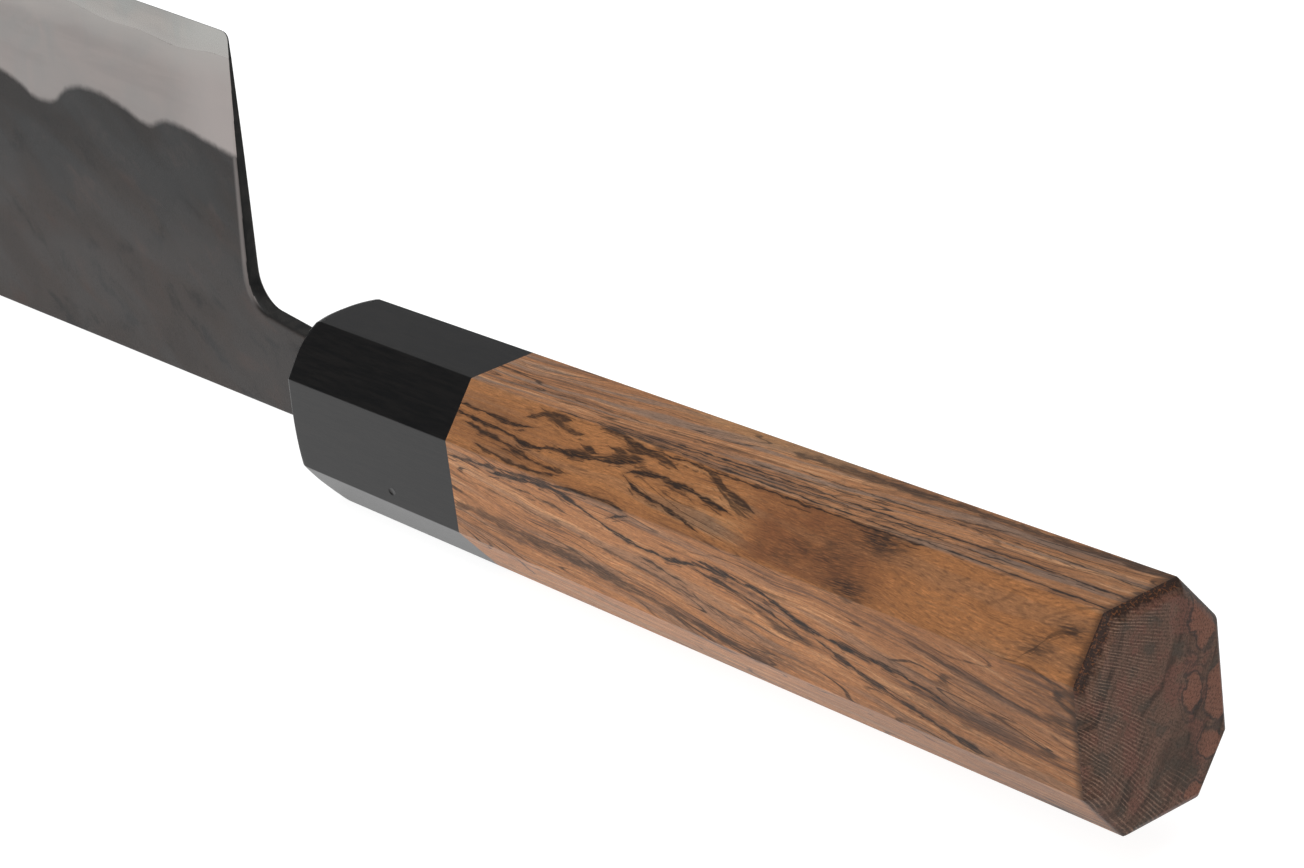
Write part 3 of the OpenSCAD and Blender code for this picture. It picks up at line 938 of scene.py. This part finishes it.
def cloudy_material(name, light, dark, size=2.0, spread=0.2, distance=0.1, specular=0.5):
    """Two tones in soft clouds, with a fine speckle in roughness and bump."""
    t = MaterialTree(name)
    soft = clouds(t, Place=knife_space(t)["Place"], Size=size, Warp=0.8)
    t.shader["Specular IOR Level"].default_value = specular
    return t.finish(t.mix(soft["Mask"], light, dark), soft["Speckle"] * spread + 0.45,
                    soft["Speckle"], 0.3, distance)


# Middle of the small pit in the ferrule's side, in the knife's frame in millimetres
PIT_PLACE = (-21.1, 10.0, -4.4)


def horn_material(s):
    """Black horn with faint brown fibres along the handle, fine rub marks and a small pit."""
    t = MaterialTree("black_horn")
    place = knife_space(t)["Place"]
    fibre = fine_grain(t, Place=place, Stretch=(0.12, 1.6, 1.6))
    rub = fine_grain(t, Place=place, Stretch=(0.5, 7.0, 7.0))
    dust = t.step(clouds(t, Place=place, Size=6.0, Warp=0.6)["Speckle"], 0.73, 0.78)
    away = t.vector("LENGTH", (place - PIT_PLACE) * (0.8, 0.5, 1.15))
    pit = t.step(away, 0.15, 0.62, 1.0, 0.0)
    shade = t.paint(s.horn_colour,
                    (fibre["Mask"] * 0.35, (0.013, 0.011, 0.010)),
                    (dust * 0.25, (0.09, 0.09, 0.09)),
                    (pit * 0.5, (0.02, 0.018, 0.017)))
    t.shader["IOR"].default_value = 1.54
    t.shader["Specular IOR Level"].default_value = 0.24
    return t.finish(shade, 0.26 + rub["Height"] * 0.12 + dust * 0.2,
                    rub["Height"] * 0.05 - pit, 0.5, 0.45)


# The figured wood. Places back from the ferrule's front and round the handle, from the middle
# of the right upper facet, are in millimetres.

# Ink lines of the figure: start and end back from the ferrule's front, half the line's width,
# its density, and its places round the handle, evenly spaced from start to end, on a curve
# that reaches GIRTH_REACH to both sides
GIRTH_REACH = 20.0
INK_LINES = [
    (34, 51, 0.22, 0.90, (-0.9, -0.9, -0.75, -1.5)),
    (47, 56, 0.45, 0.80, (-1.9, -3.0, -3.6, -3.4)),
    (49, 59, 0.30, 0.75, (-3.9, -3.3, -2.4, -2.6)),
    (34, 71, 0.24, 0.95, (0.1, 0.3, 0.5, 1.0, 0.2, -0.05, -0.9, -2.1)),
    (53, 71, 0.42, 0.80, (0.5, 0.0, -0.5, -1.6, -2.4)),
    (36, 59, 0.28, 0.85, (1.1, 1.4, 2.1, 2.7, 2.5)),
    (40, 58, 0.22, 0.80, (3.2, 3.6, 3.8, 3.7, 2.9)),
    (55.5, 58.5, 0.55, 0.75, (2.3, 2.7)),
    (34, 71, 0.20, 0.85, (5.9, 5.6, 5.0, 4.5, 4.0, 4.2)),
    (66, 71.3, 0.22, 0.85, (6.2, 5.7, 5.1, 4.6)),
    (43, 93, 0.24, 0.90, (6.2, 5.5, 5.2, 6.9, 8.2, 8.2, 7.5, 8.0)),
    (48, 60, 0.14, 0.70, (6.9, 7.2, 7.9)),
    (67.5, 88, 0.28, 0.90, (0.1, -0.9, -1.0, -0.8, -0.3, 0.1)),
    (67.5, 84, 0.26, 0.90, (0.1, 1.5, 1.9, 2.6, 3.5)),
    (74, 82, 0.12, 0.65, (-0.1, -0.3, 0.0, 0.6)),
    (74, 82, 0.12, 0.60, (0.1, 0.7, 1.0, 0.8)),
    (61, 72, 0.42, 0.85, (-4.1, -4.3, -3.6, -3.6)),
    (66, 77, 0.32, 0.80, (-2.6, -3.0, -3.1, -2.5)),
    (58.5, 63, 0.45, 0.85, (-1.5, -1.1, -1.0)),
    (63, 70, 0.30, 0.80, (-2.5, -2.1, -1.8)),
    (79.5, 91.5, 0.42, 0.80, (-4.0, -3.4, -2.4, -1.6, -0.9)),
    (83, 91, 0.25, 0.70, (-2.6, -1.6, -0.6, -0.1)),
    (72, 81, 0.22, 0.80, (9.5, 10.1, 10.9)),
    (83, 126, 0.26, 0.90, (6.9, 7.4, 8.1, 9.9, 10.6, 10.9, 11.5, 12.8)),
    (82, 103, 0.22, 0.85, (8.3, 8.9, 10.1, 12.4)),
    (99, 104, 0.50, 0.80, (9.9, 10.7)),
    (103, 132, 0.26, 0.85, (10.9, 12.6, 14.0, 15.1, 16.3, 17.1)),
    (136.5, 145, 0.22, 0.50, (4.0, 1.9, -0.3, -1.1, -1.4)),
    (84, 125, 0.15, 0.75, (-8.0, -8.2, -8.7, -9.5, -11.2, -12.4)),
    (58, 106, 0.14, 0.70, (-4.9, -5.0, -5.3, -5.8, -6.2)),
    (86, 118, 0.60, 0.60, (-12.6, -13.1, -13.5, -13.9)),
    (104, 147, 0.55, 0.70, (-13.2, -13.9, -14.3, -14.6)),
    (34, 73, 0.50, 0.60, (12.5, 12.7, 13.2, 13.6, 14.3, 15.0)),
    (60, 98, 0.30, 0.65, (13.0, 14.2, 15.4, 16.4, 17.6)),
    (38, 62, 0.12, 0.55, (8.6, 8.9, 9.7, 10.3)),
    (58, 92, 0.13, 0.60, (10.2, 10.8, 12.0, 13.4)),
    (118, 147, 0.20, 0.60, (6.4, 7.9, 9.2, 10.3)),
    (52, 147, 0.13, 0.95, (-4.4, -4.7, -4.8, -5.1, -5.0, -5.2)),
    (60, 132, 0.10, 0.90, (-5.4, -5.9, -6.3, -6.4, -6.9)),
    (72, 147, 0.14, 0.95, (-6.2, -6.9, -7.3, -7.9, -8.1)),
    (66, 120, 0.11, 0.90, (-3.6, -3.9, -4.0, -4.3)),
    (40, 84, 0.08, 0.75, (-6.8, -7.6, -8.1, -9.0)),
    (90, 147, 0.09, 0.80, (-9.6, -10.3, -10.8, -11.0)),
]

# Soft smudges: place back, place round, half length, half width, strength
SMUDGES = [
    (111.5, -2.9, 4.5, 1.7, 0.80), (109.0, 3.4, 3.5, 1.8, 0.80), (101.0, 0.6, 3.0, 1.0, 0.42),
    (98.0, 2.4, 3.0, 0.8, 0.40), (105.5, 0.2, 4.5, 2.4, 0.50), (95.0, 15.6, 6.0, 1.0, 0.55),
    (55.0, 13.9, 16.0, 0.9, 0.50), (127.0, 13.4, 9.0, 1.6, 0.50), (142.0, 6.6, 5.0, 1.1, 0.40),
    (105.0, -13.6, 16.0, 1.2, 0.50), (139.5, 1.5, 2.6, 1.3, 0.65),
    (143.0, -1.3, 2.6, 0.9, 0.70), (146.0, 1.9, 2.0, 1.4, 0.60),
]


def oval(a, b, at_a, at_b, half_a, half_b):
    """Square of the distance from an oval's middle, which is 1 on its outline."""
    p, q = (a - at_a) / half_a, (b - at_b) / half_b
    return p * p + q * q


@shader_group({"Back": (FLOAT, 0.0), "Offset": (FLOAT, 0.0), "Start": (FLOAT, 0.0),
               "End": (FLOAT, 1.0), "Width": (FLOAT, 0.3), "Density": (FLOAT, 1.0),
               "Swell": (FLOAT, 1.0)}, {"Ink": FLOAT, "Halo": FLOAT})
def ink_stroke(t, given):
    """One line of the figure with a soft halo and, in places, a thin twin beside it."""
    nearest = t.math("MINIMUM", given["Back"] - given["Start"], given["End"] - given["Back"])
    inside = t.step(nearest, -0.5, 0.6)
    half = given["Width"] * (t.step(nearest, -0.3, 3.0) * given["Swell"])
    near = abs(given["Offset"])
    core = t.step((half - near) / (half * 0.40 + 0.035), -0.9, 0.9)
    twin = t.step(abs(given["Offset"] - 0.62), 0.05, 0.12, 1.0, 0.0)
    twin = twin * t.step(given["Swell"], 0.9, 1.2, 0.0, 0.7)
    halo = t.step(near / (half * 2.6 + 0.3), 0.25, 1.0, 1.0, 0.0)
    return {"Ink": t.highest(core, twin) * inside * given["Density"],
            "Halo": halo * inside * given["Density"]}


class WoodFigure:
    """Places and streaks that the layers of the figured wood share."""

    def __init__(self, t, place):
        self.t = t
        self.back = t.split(place)[0] * -1.0
        self.girth = t.attribute("girth")
        lean = t.step(self.girth, -10.0, 10.0, -0.085, 0.095)
        wave = self.spots(0.032, 0.08, 3.0)
        self.flow = self.girth - (self.back - 90.0) * lean + (wave - 0.5) * 4.0
        self.broad = self.streaks(0.30, 0.018, 1.0)
        self.hair = self.streaks(8.0, 0.55, 5.0, 2.0, 0.6)
        self.red = self.spots(0.12, 0.3, 6.0, 3.0, 0.55)
        facet = t.step(self.girth, 3.4, 4.4, 1.0, 0.0) * t.step(self.girth, -4.6, -3.6)
        self.plain = t.step(self.back, 84.0, 96.0) * facet
        self.warm = t.step(self.back, 62.0, 90.0, 0.55, 0.0) * (
            t.step(self.girth, -4.6, -3.8) * t.step(self.girth, 4.6, 3.8))
        self.quiet = 1.0 - t.highest(self.plain * 0.72, self.warm)

    def spots(self, per_back, per_girth, seed, detail=2.0, rough=0.5):
        t = self.t
        return t.noise(t.join(self.back * per_back, self.girth * per_girth, seed), detail, rough)

    def streaks(self, per_flow, per_back, seed, detail=3.0, rough=0.55):
        t = self.t
        return t.noise(t.join(self.flow * per_flow, self.back * per_back, seed), detail, rough)

    def ground(self, s):
        """Colour of the wood without its dark marks, multiplied by painted light that differs from
        facet to facet.
        """
        t, back, girth, quiet = self.t, self.back, self.girth, self.quiet
        middling = self.streaks(1.1, 0.035, 2.0)
        fine = self.streaks(3.4, 0.08, 4.0, 3.0, 0.6)
        grey = self.streaks(0.62, 0.02, 7.0)
        tone = (self.broad - 0.5) * 0.75 + (middling - 0.5) * 0.75 + (fine - 0.5) * 0.85
        tone = tone * quiet + 0.5 + (self.hair - 0.5) * 0.35
        side, top = t.step(girth, 4.1, 4.7), t.step(girth, -4.1, -4.7)
        shade = t.paint(
            t.ramp(tone, [(0.30, s.dark_wood), (0.45, s.mid_wood), (0.54, s.mid_wood),
                          (0.70, s.light_wood)]),
            (t.step(grey, 0.49, 0.61) * (quiet * 0.8) * (1.0 - side * 0.45), s.grey_wood))
        # Painted light: each facet is brightened by its own amount. The right side and the facets
        # below it get the most, all facets get more towards the ferrule than the butt, and the top
        # flat gets an even amount.
        upper_facet_light = t.mix(t.step(back, 116.0, 142.0), (1.36, 1.38, 1.32), (1.10, 1.12, 1.10))
        side_facets_light = t.mix(t.step(back, 88.0, 136.0), (1.82, 1.76, 1.56), (1.24, 1.18, 1.06))
        painted_facet_light = t.mix(side, t.mix(top, (1.20, 1.15, 0.98), upper_facet_light), side_facets_light)
        patch = t.step(back, 84.0, 92.0) * t.step(back, 106.0, 120.0, 1.0, 0.0) * self.plain
        rear = t.step(girth, -11.2, -13.4) * t.step(back, 60.0, 75.0)
        return t.paint(
            t.mix(1.0, shade, painted_facet_light, "MULTIPLY"),
            (self.warm * t.step(self.broad, 0.40, 0.60) * 1.1, (0.34, 0.148, 0.055)),
            (patch * t.step(self.red, 0.3, 0.62, 0.45, 0.95), s.red_wood),
            (rear * t.step(back, 92.0, 104.0, 0.7, 0.0), (0.31, 0.16, 0.068)))

    def contours(self, seed, count, thick, strength):
        """Thin lines along the flow, where a slow noise passes even steps."""
        t = self.t
        field = self.streaks(0.28, 0.02, seed, 1.0, 0.4)
        off = abs(t.math("FRACT", field * count) - 0.5)
        present = t.step(self.streaks(0.22, 0.04, seed + 3.0, 2.0), 0.44, 0.58)
        return t.step(off, 0.3 * thick, thick, 1.0, 0.0) * present * self.quiet * strength

    def ink(self):
        """All ink lines together, as masks of ink and halo."""
        t, back = self.t, self.back
        ragged = t.noise(t.join(back * 0.38, self.flow * 0.8), 3.0)
        offset = self.girth + (ragged - 0.5) * 0.85
        swell = t.step(self.spots(0.28, 0.5, 9.0), 0.32, 0.68, 0.4, 1.5)
        strokes = []
        for start, end, half, density, line in INK_LINES:
            share = t.math("DIVIDE", back - start, end - start, clamp=True)
            places = [(n / (len(line) - 1), place) for n, place in enumerate(line)]
            middle = t.curve(share, places, -GIRTH_REACH, GIRTH_REACH, "AUTO")
            strokes.append(ink_stroke(t, Back=back, Offset=offset - middle, Start=start, End=end,
                                      Width=half, Density=density, Swell=swell))
        return [t.highest(*(stroke[key] for stroke in strokes)) for key in ("Ink", "Halo")]

    def smudges(self):
        t = self.t
        return t.highest(*(
            t.math("EXPONENT", oval(self.back, self.girth, *place) * -1.0) * strength
            for *place, strength in SMUDGES))


def wood_material(s):
    """Figured wood along the handle: streaks, warm patches, ink lines, smudges and pores."""
    t = MaterialTree("figured_wood_side")
    place = knife_space(t)["Place"]
    wood = WoodFigure(t, place)
    hair = wood.hair
    ink, halo = wood.ink()
    thin = t.highest(wood.contours(12.0, 10.0, 0.08, 0.8), wood.contours(21.0, 7.0, 0.055, 0.7))
    feather = t.step(wood.streaks(6.0, 0.5, 31.0, 2.0, 0.6), 0.34, 0.54, 0.62, 1.12)
    smudge = wood.smudges() * t.step(wood.red, 0.25, 0.6, 0.4, 1.3)
    grain = fine_grain(t, Place=place, Stretch=(1.1, 5.0, 5.0), Contrast=1.2)
    depth = s.handle_l / MM - wood.back + t.noise(place, 3.0, 0.6, scale=0.8) * 1.2
    shade = t.paint(
        wood.ground(s),
        (halo * 0.225, (0.045, 0.026, 0.017)),
        (smudge * t.step(hair, 0.36, 0.62, 0.45, 1.15), (0.036, 0.023, 0.017)),
        (t.highest(ink, thin) * feather, s.ink_wood),
        (t.step(hair, 0.53, 0.66, 0.0, 0.4125), (0.05, 0.024, 0.015)))
    shade = t.mix(t.step(hair, 0.32, 0.47, 0.85, 0.0), shade, (1.45, 1.42, 1.38), "MULTIPLY")
    shade = t.paint(
        shade,
        (grain["Mask"] * 0.228, (0.04, 0.02, 0.013)),
        (t.step(depth, 2.0, 3.5, 0.7, 0.0), (0.020, 0.011, 0.008)))
    height = grain["Height"] * 0.5 - t.step(hair, 0.53, 0.66) * 0.5
    t.shader["Specular IOR Level"].default_value = 0.2
    return t.finish(shade, 0.40 + grain["Height"] * 0.16, height, 0.22, 0.1)


# Places of the end grain in Y and Z, in millimetres: the pith that its rays come from, the
# dark spot and the reddish patches with dark outlines, each with half its width and height
PITH = (31.0, 22.0)
DARK_SPOT = (-2.3, -6.8, 2.9, 3.4)
END_PATCHES = [(-7.4, 8.2, 2.2, 3.1), (-5.2, 0.3, 1.6, 2.4), (-9.2, -1.6, 2.6, 3.2),
               (-6.9, -6.9, 1.8, 1.9), (-3.7, -11.6, 1.9, 1.2)]


def end_grain_material(s):
    """Sawn end of the wood: growth bands, reddish patches, pale rays and a scorched rim."""
    t = MaterialTree("figured_wood_end")
    place = knife_space(t)["Place"]
    x, y, z = t.split(place)
    bend = t.noise(place * 0.11, 1.0) - 0.5
    away_y, away_z = y - PITH[0], z - PITH[1]
    ring = t.math("SQRT", away_y * away_y + away_z * away_z) + bend * 5.0
    angle = t.math("ARCTAN2", away_z * -1.0, away_y * -1.0) + bend * 0.035

    bands = t.noise(t.join(ring * 0.75, angle * 2.2), 3.0, 0.6)
    tint = t.noise(place * 0.3, 3.0, 0.6)
    ripple = t.noise(place * 0.30, 4.0, 0.55, 0.9) - 0.5
    nearest = reduce(lambda a, b: t.math("MINIMUM", a, b),
                     [t.math("SQRT", oval(y, z, *patch)) for patch in END_PATCHES])
    far = nearest + ripple * 2.6
    outline = t.highest(t.step(abs(far - 1.05), 0.03, 0.16, 1.0, 0.0),
                        t.step(abs(far - 1.5), 0.02, 0.11, 0.7, 0.0))
    outline = outline * t.step(y, -0.5, -3.5, 0.0, 0.85) * t.step(tint, 0.36, 0.56, 0.45, 1.0)
    spot = oval(y, z, *DARK_SPOT) + ripple * 6.0

    jitter = t.noise(t.join(angle * 22.0, ring * 0.22, 2.0))
    spokes = t.math("SINE", angle * 540.0 + jitter * 8.0)
    broken = t.noise(t.join(angle * 26.0, ring * 0.45, 5.0))
    near = t.highest(t.step(y + z * 0.25, -1.5, 5.5, 0.10, 1.0),
                     t.step(z, -5.5, -9.5) * t.step(y, -6.0, 0.0, 0.0, 0.8))
    pale = t.step(spokes, 0.55, 0.98) * t.step(broken, 0.36, 0.60, 0.15, 1.0)
    between = t.step(spokes, -0.3, -0.95) * t.step(broken, 0.36, 0.60, 0.15, 0.60)
    woven = t.noise(t.join(ring * 5.0, angle * 120.0, 8.0), 2.0, 0.6)
    cells = t.noise(place * 5.0, 2.0, 0.6)
    dark = t.highest(t.step(woven, 0.50, 0.64), t.step(cells, 0.54, 0.68))

    depth = x + s.handle_l / MM + (t.noise(place, 3.0, 0.6, scale=1.3) - 0.5) * 1.4
    burnt = t.step(depth, 0.1, 0.8) * t.step(t.attribute("girth"), 3.6, 5.6, 1.0, 0.2)
    glint = t.noise(place, 4.0, 0.65, 0.5, scale=3.2)
    ember = t.mix(t.step(glint, 0.53, 0.63), (0.016, 0.009, 0.007), (0.115, 0.042, 0.016))
    shade = t.paint(
        t.ramp(bands, [(0.36, (0.042, 0.025, 0.018)), (0.46, (0.100, 0.056, 0.039)),
                       (0.58, (0.128, 0.072, 0.050)), (0.70, (0.150, 0.078, 0.058))]),
        (t.step(tint, 0.50, 0.62, 0.0, 0.75), (0.140, 0.060, 0.043)),
        (t.step(tint, 0.36, 0.47, 0.75, 0.0), (0.060, 0.047, 0.036)),
        (t.step(far, 0.75, 1.05, 0.75, 0.0), (0.19, 0.080, 0.052)),
        (outline * 0.85, (0.024, 0.021, 0.021)),
        (t.step(spot, 0.0, 2.2, 0.42, 0.0), (0.030, 0.027, 0.020)),
        (pale * near * 0.72, (0.25, 0.155, 0.110)),
        (between * t.step(near, 0.1, 0.9, 0.35, 1.0), (0.035, 0.021, 0.016)),
        (dark * 0.62, (0.024, 0.016, 0.012)),
        (burnt * 0.9, ember))
    t.shader["Specular IOR Level"].default_value = 0.12
    return t.finish(shade, 0.42 + cells * 0.2, spokes * 0.15 - cells * 0.6, 0.25, 0.1)


def dowel_material():
    """Pale straight-grained wood."""
    t = MaterialTree("dowel_wood")
    fibre = fine_grain(t, Place=knife_space(t)["Place"], Stretch=(0.1, 2.0, 2.0), Contrast=1.4)
    return t.finish(t.mix(fibre["Mask"], (0.62, 0.45, 0.28), (0.5, 0.34, 0.2)),
                    fibre["Height"] * 0.2 + 0.5, fibre["Height"], 0.2, 0.1)


def give(obj, *materials):
    obj.data.materials.clear()
    for material in materials:
        obj.data.materials.append(material)


# Operators


class KNIFE_OT_blade(bpy.types.Operator):
    """Builds the core steel and the cladding on both sides"""
    bl_idname = "knife.blade"
    bl_label = "Blade"

    def execute(self, context):
        s = context.scene.knife_blade
        form = BladeForm(s)
        cladding = cladding_material(s)
        wall = cloudy_material("forge_scale_wall", (0.006, 0.006, 0.006), (0.014, 0.013, 0.012),
                               size=2.5, spread=0.3, distance=0.06, specular=0.2)
        for piece, material, slot, node in (
                (cladding_piece(form, 1), cladding, "cladding", "cladding_right"),
                (cladding_piece(form, -1), cladding, "cladding", "cladding_left"),
                (core_piece(form), core_material(s), "core_steel", "core_steel")):
            give(piece, material, wall)
            mark_walls(piece)
            finish_piece(piece, node)
        return {"FINISHED"}


class KNIFE_OT_ferrule(bpy.types.Operator):
    """Builds the horn ferrule with its mouth and bore"""
    bl_idname = "knife.ferrule"
    bl_label = "Ferrule"

    def execute(self, context):
        s, blade = context.scene.knife_handle, context.scene.knife_blade
        flats = [(b, 0) for b in np.linspace(s.ferrule_l, FRONT_CLEAR * s.front_round, FLAT_RINGS)]
        shell = handle_rings(s, flats, FERRULE_POINTS)
        shell += front_rings(s, FERRULE_POINTS, FRONT_RINGS)
        bore = [circle_ring(-x, s.bore_d / 2, BORE_POINTS) for x in (s.ferrule_l, s.ferrule_wall)]
        mouth = [slot_ring(s, blade, x, MOUTH_POINTS) for x in (-s.ferrule_wall, 0)]
        ferrule = tube_mesh("ferrule_horn", [shell, bore, mouth],
                            [((0, 0), (1, 0)), ((1, -1), (2, 0)), ((0, -1), (2, -1))])
        smooth(ferrule, SHARP_HORN)
        give(ferrule, horn_material(s))
        finish_piece(ferrule, "ferrule")
        return {"FINISHED"}


class KNIFE_OT_body(bpy.types.Operator):
    """Builds the octagonal body of figured wood"""
    bl_idname = "knife.body"
    bl_label = "Handle body"

    def execute(self, context):
        s = context.scene.knife_handle
        c = s.butt_chamfer
        profile = [(b, 0) for b in np.linspace(s.ferrule_l, s.handle_l - c, BODY_RINGS)]
        for a in np.linspace(0, math.pi / 2, CHAMFER_RINGS + 1)[1:]:
            flat = (1 - CHAMFER_ROUND) * a / (math.pi / 2)
            back = CHAMFER_ROUND * math.sin(a) + flat
            inset = CHAMFER_ROUND * (1 - math.cos(a)) + flat
            profile.append((s.handle_l - c + c * back, c * inset))
        shell = handle_rings(s, profile, FACET_POINTS)
        bore = [circle_ring(-x, s.bore_d / 2, BORE_POINTS) for x in (s.ferrule_l, s.bore_end)]
        body = tube_mesh("handle_body_wood", [shell, bore],
                         [((0, 0), (1, 0)), ((0, -1),), ((1, -1),)])
        girth = np.concatenate([girth_places(s, ring[:, 1:]) for ring in shell])
        add_values(body, "girth", np.concatenate([girth / MM, np.zeros(2 * BORE_POINTS)]))
        smooth(body, SHARP_WOOD)
        give(body, wood_material(s), end_grain_material(s))
        plane = standing() @ Vector((EASE - s.handle_l + c, 0, 0))
        facing = standing().to_3x3() @ Vector((-1, 0, 0))
        for face in body.data.polygons:
            if (face.center - plane) @ facing > 0:
                face.material_index = 1
        finish_piece(body, "handle_body")
        return {"FINISHED"}


class KNIFE_OT_inside(bpy.types.Operator):
    """Finishes the dowel, the bedding of the tang and the filler in the mouth"""
    bl_idname = "knife.inside"
    bl_label = "Dowel, bedding and filler"

    def execute(self, context):
        nodes = frame["nodes"]
        give(nodes["dowel"], dowel_material())
        give(nodes["tang_bedding"],
             cloudy_material("tang_bedding_resin", (0.58, 0.52, 0.38), (0.46, 0.41, 0.29)))
        give(nodes["mouth_seal"],
             cloudy_material("mouth_filler", (0.022, 0.018, 0.016), (0.012, 0.010, 0.009)))
        return {"FINISHED"}


# Soft square lights: name, setting of the power, side, place and aim, in metres
LIGHTS = [("key", "key_power", 1.2, (-0.9, 1.0, 1.5), (-0.1, 0, 0)),
          ("top", "top_power", 2.6, (-0.1, 0.2, 2.2), (-0.1, 0, 0)),
          ("back", "back_power", 1.5, (1.3, -1.0, 0.85), (0, 0, 0))]

# The camera's sensor in millimetres, and the nearest and furthest places it sees, in metres
SENSOR = 36
NEAREST, FURTHEST = 0.01, 50


class KNIFE_OT_stage(bpy.types.Operator):
    """Sets the floor, the soft lights, the surroundings and the camera"""
    bl_idname = "knife.stage"
    bl_label = "Stage"

    def execute(self, context):
        scene, s = context.scene, context.scene.knife_stage
        half = s.floor_size / 2
        mesh = bpy.data.meshes.new("floor")
        mesh.from_pydata([(-half, -half, 0), (half, -half, 0), (half, half, 0),
                          (-half, half, 0)], [], [(0, 1, 2, 3)])
        pale = MaterialTree("pale_floor")
        for socket, value in (("Base Color", s.floor_colour), ("Roughness", 0.9),
                              ("Specular IOR Level", 0.1), ("Emission Color", (1, 1, 1)),
                              ("Emission Strength", s.floor_glow)):
            pale.put(pale.shader[socket], value)
        mesh.materials.append(pale.material)
        new_object("floor", mesh)

        for name, power, size, place, aim in LIGHTS:
            data = bpy.data.lights.new(name, "AREA")
            data.shape, data.size, data.energy = "SQUARE", size, getattr(s, power)
            light = new_object(name, data)
            light.location = place
            turn = (Vector(aim) - Vector(place)).to_track_quat("-Z", "Y")
            light.rotation_euler = turn.to_euler()

        world = bpy.data.worlds.new("surroundings")
        scene.world = world
        world.use_nodes = True
        w = Tree(world.node_tree)
        out = world.node_tree.nodes["World Output"]
        world.node_tree.nodes.remove(world.node_tree.nodes["Background"])
        dim = w.node("ShaderNodeBackground", {"Color": (0.9, 0.92, 0.95), "Strength": s.surround})
        seen = w.node("ShaderNodeBackground", {"Color": (1, 1, 1), "Strength": 1.0})
        to_camera = w.out(w.node("ShaderNodeLightPath"), "Is Camera Ray")
        which = w.node("ShaderNodeMixShader", {0: to_camera, 1: w.out(dim), 2: w.out(seen)})
        w.put(out.inputs["Surface"], w.out(which))

        data = bpy.data.cameras.new("camera")
        data.sensor_fit, data.sensor_width, data.lens = "HORIZONTAL", SENSOR, s.lens
        data.clip_start, data.clip_end = NEAREST, FURTHEST
        camera = new_object("camera", data)
        place = standing() @ Vector(s.camera_place)
        ahead = (standing() @ Vector(s.camera_aim) - place).normalized()
        up = standing().to_3x3() @ Vector((0, 0, 1))
        right = ahead.cross(up).normalized()
        right.rotate(Matrix.Rotation(-s.camera_roll, 3, ahead))
        turn = Matrix((right, right.cross(ahead), -ahead)).transposed()
        camera.matrix_world = Matrix.Translation(place) @ turn.to_4x4()
        scene.camera = camera
        scene.view_settings.view_transform = "Standard"
        return {"FINISHED"}


class KNIFE_PT_panel(bpy.types.Panel):
    bl_label = "Chef's Knife"
    bl_idname = "KNIFE_PT_panel"
    bl_space_type = "VIEW_3D"
    bl_region_type = "UI"
    bl_category = "Knife"

    def draw(self, context):
        layout, scene = self.layout, context.scene
        for settings, operators in ((scene.knife_blade, BLADE_OPERATORS),
                                    (scene.knife_handle, HANDLE_OPERATORS),
                                    (scene.knife_stage, STAGE_OPERATORS)):
            box = layout.box()
            for key in settings.bl_rna.properties.keys():
                if key not in ("rna_type", "name"):
                    box.prop(settings, key)
            for operator in operators:
                box.operator(operator.bl_idname)


BLADE_OPERATORS = (KNIFE_OT_blade,)
HANDLE_OPERATORS = (KNIFE_OT_ferrule, KNIFE_OT_body, KNIFE_OT_inside)
STAGE_OPERATORS = (KNIFE_OT_stage,)
SETTINGS = {"knife_blade": BladeSettings, "knife_handle": HandleSettings,
            "knife_stage": StageSettings}
CLASSES = (*SETTINGS.values(), *BLADE_OPERATORS, *HANDLE_OPERATORS, *STAGE_OPERATORS,
           KNIFE_PT_panel)


def register():
    for item in CLASSES:
        bpy.utils.register_class(item)
    for key, kind in SETTINGS.items():
        setattr(bpy.types.Scene, key, PointerProperty(type=kind))


def unregister():
    for key in SETTINGS:
        delattr(bpy.types.Scene, key)
    for item in reversed(CLASSES):
        bpy.utils.unregister_class(item)


def main():
    register()
    bpy.ops.knife.blade()
    bpy.ops.knife.ferrule()
    bpy.ops.knife.body()
    bpy.ops.knife.inside()
    bpy.ops.knife.stage()


if __name__ == "__main__":
    main()
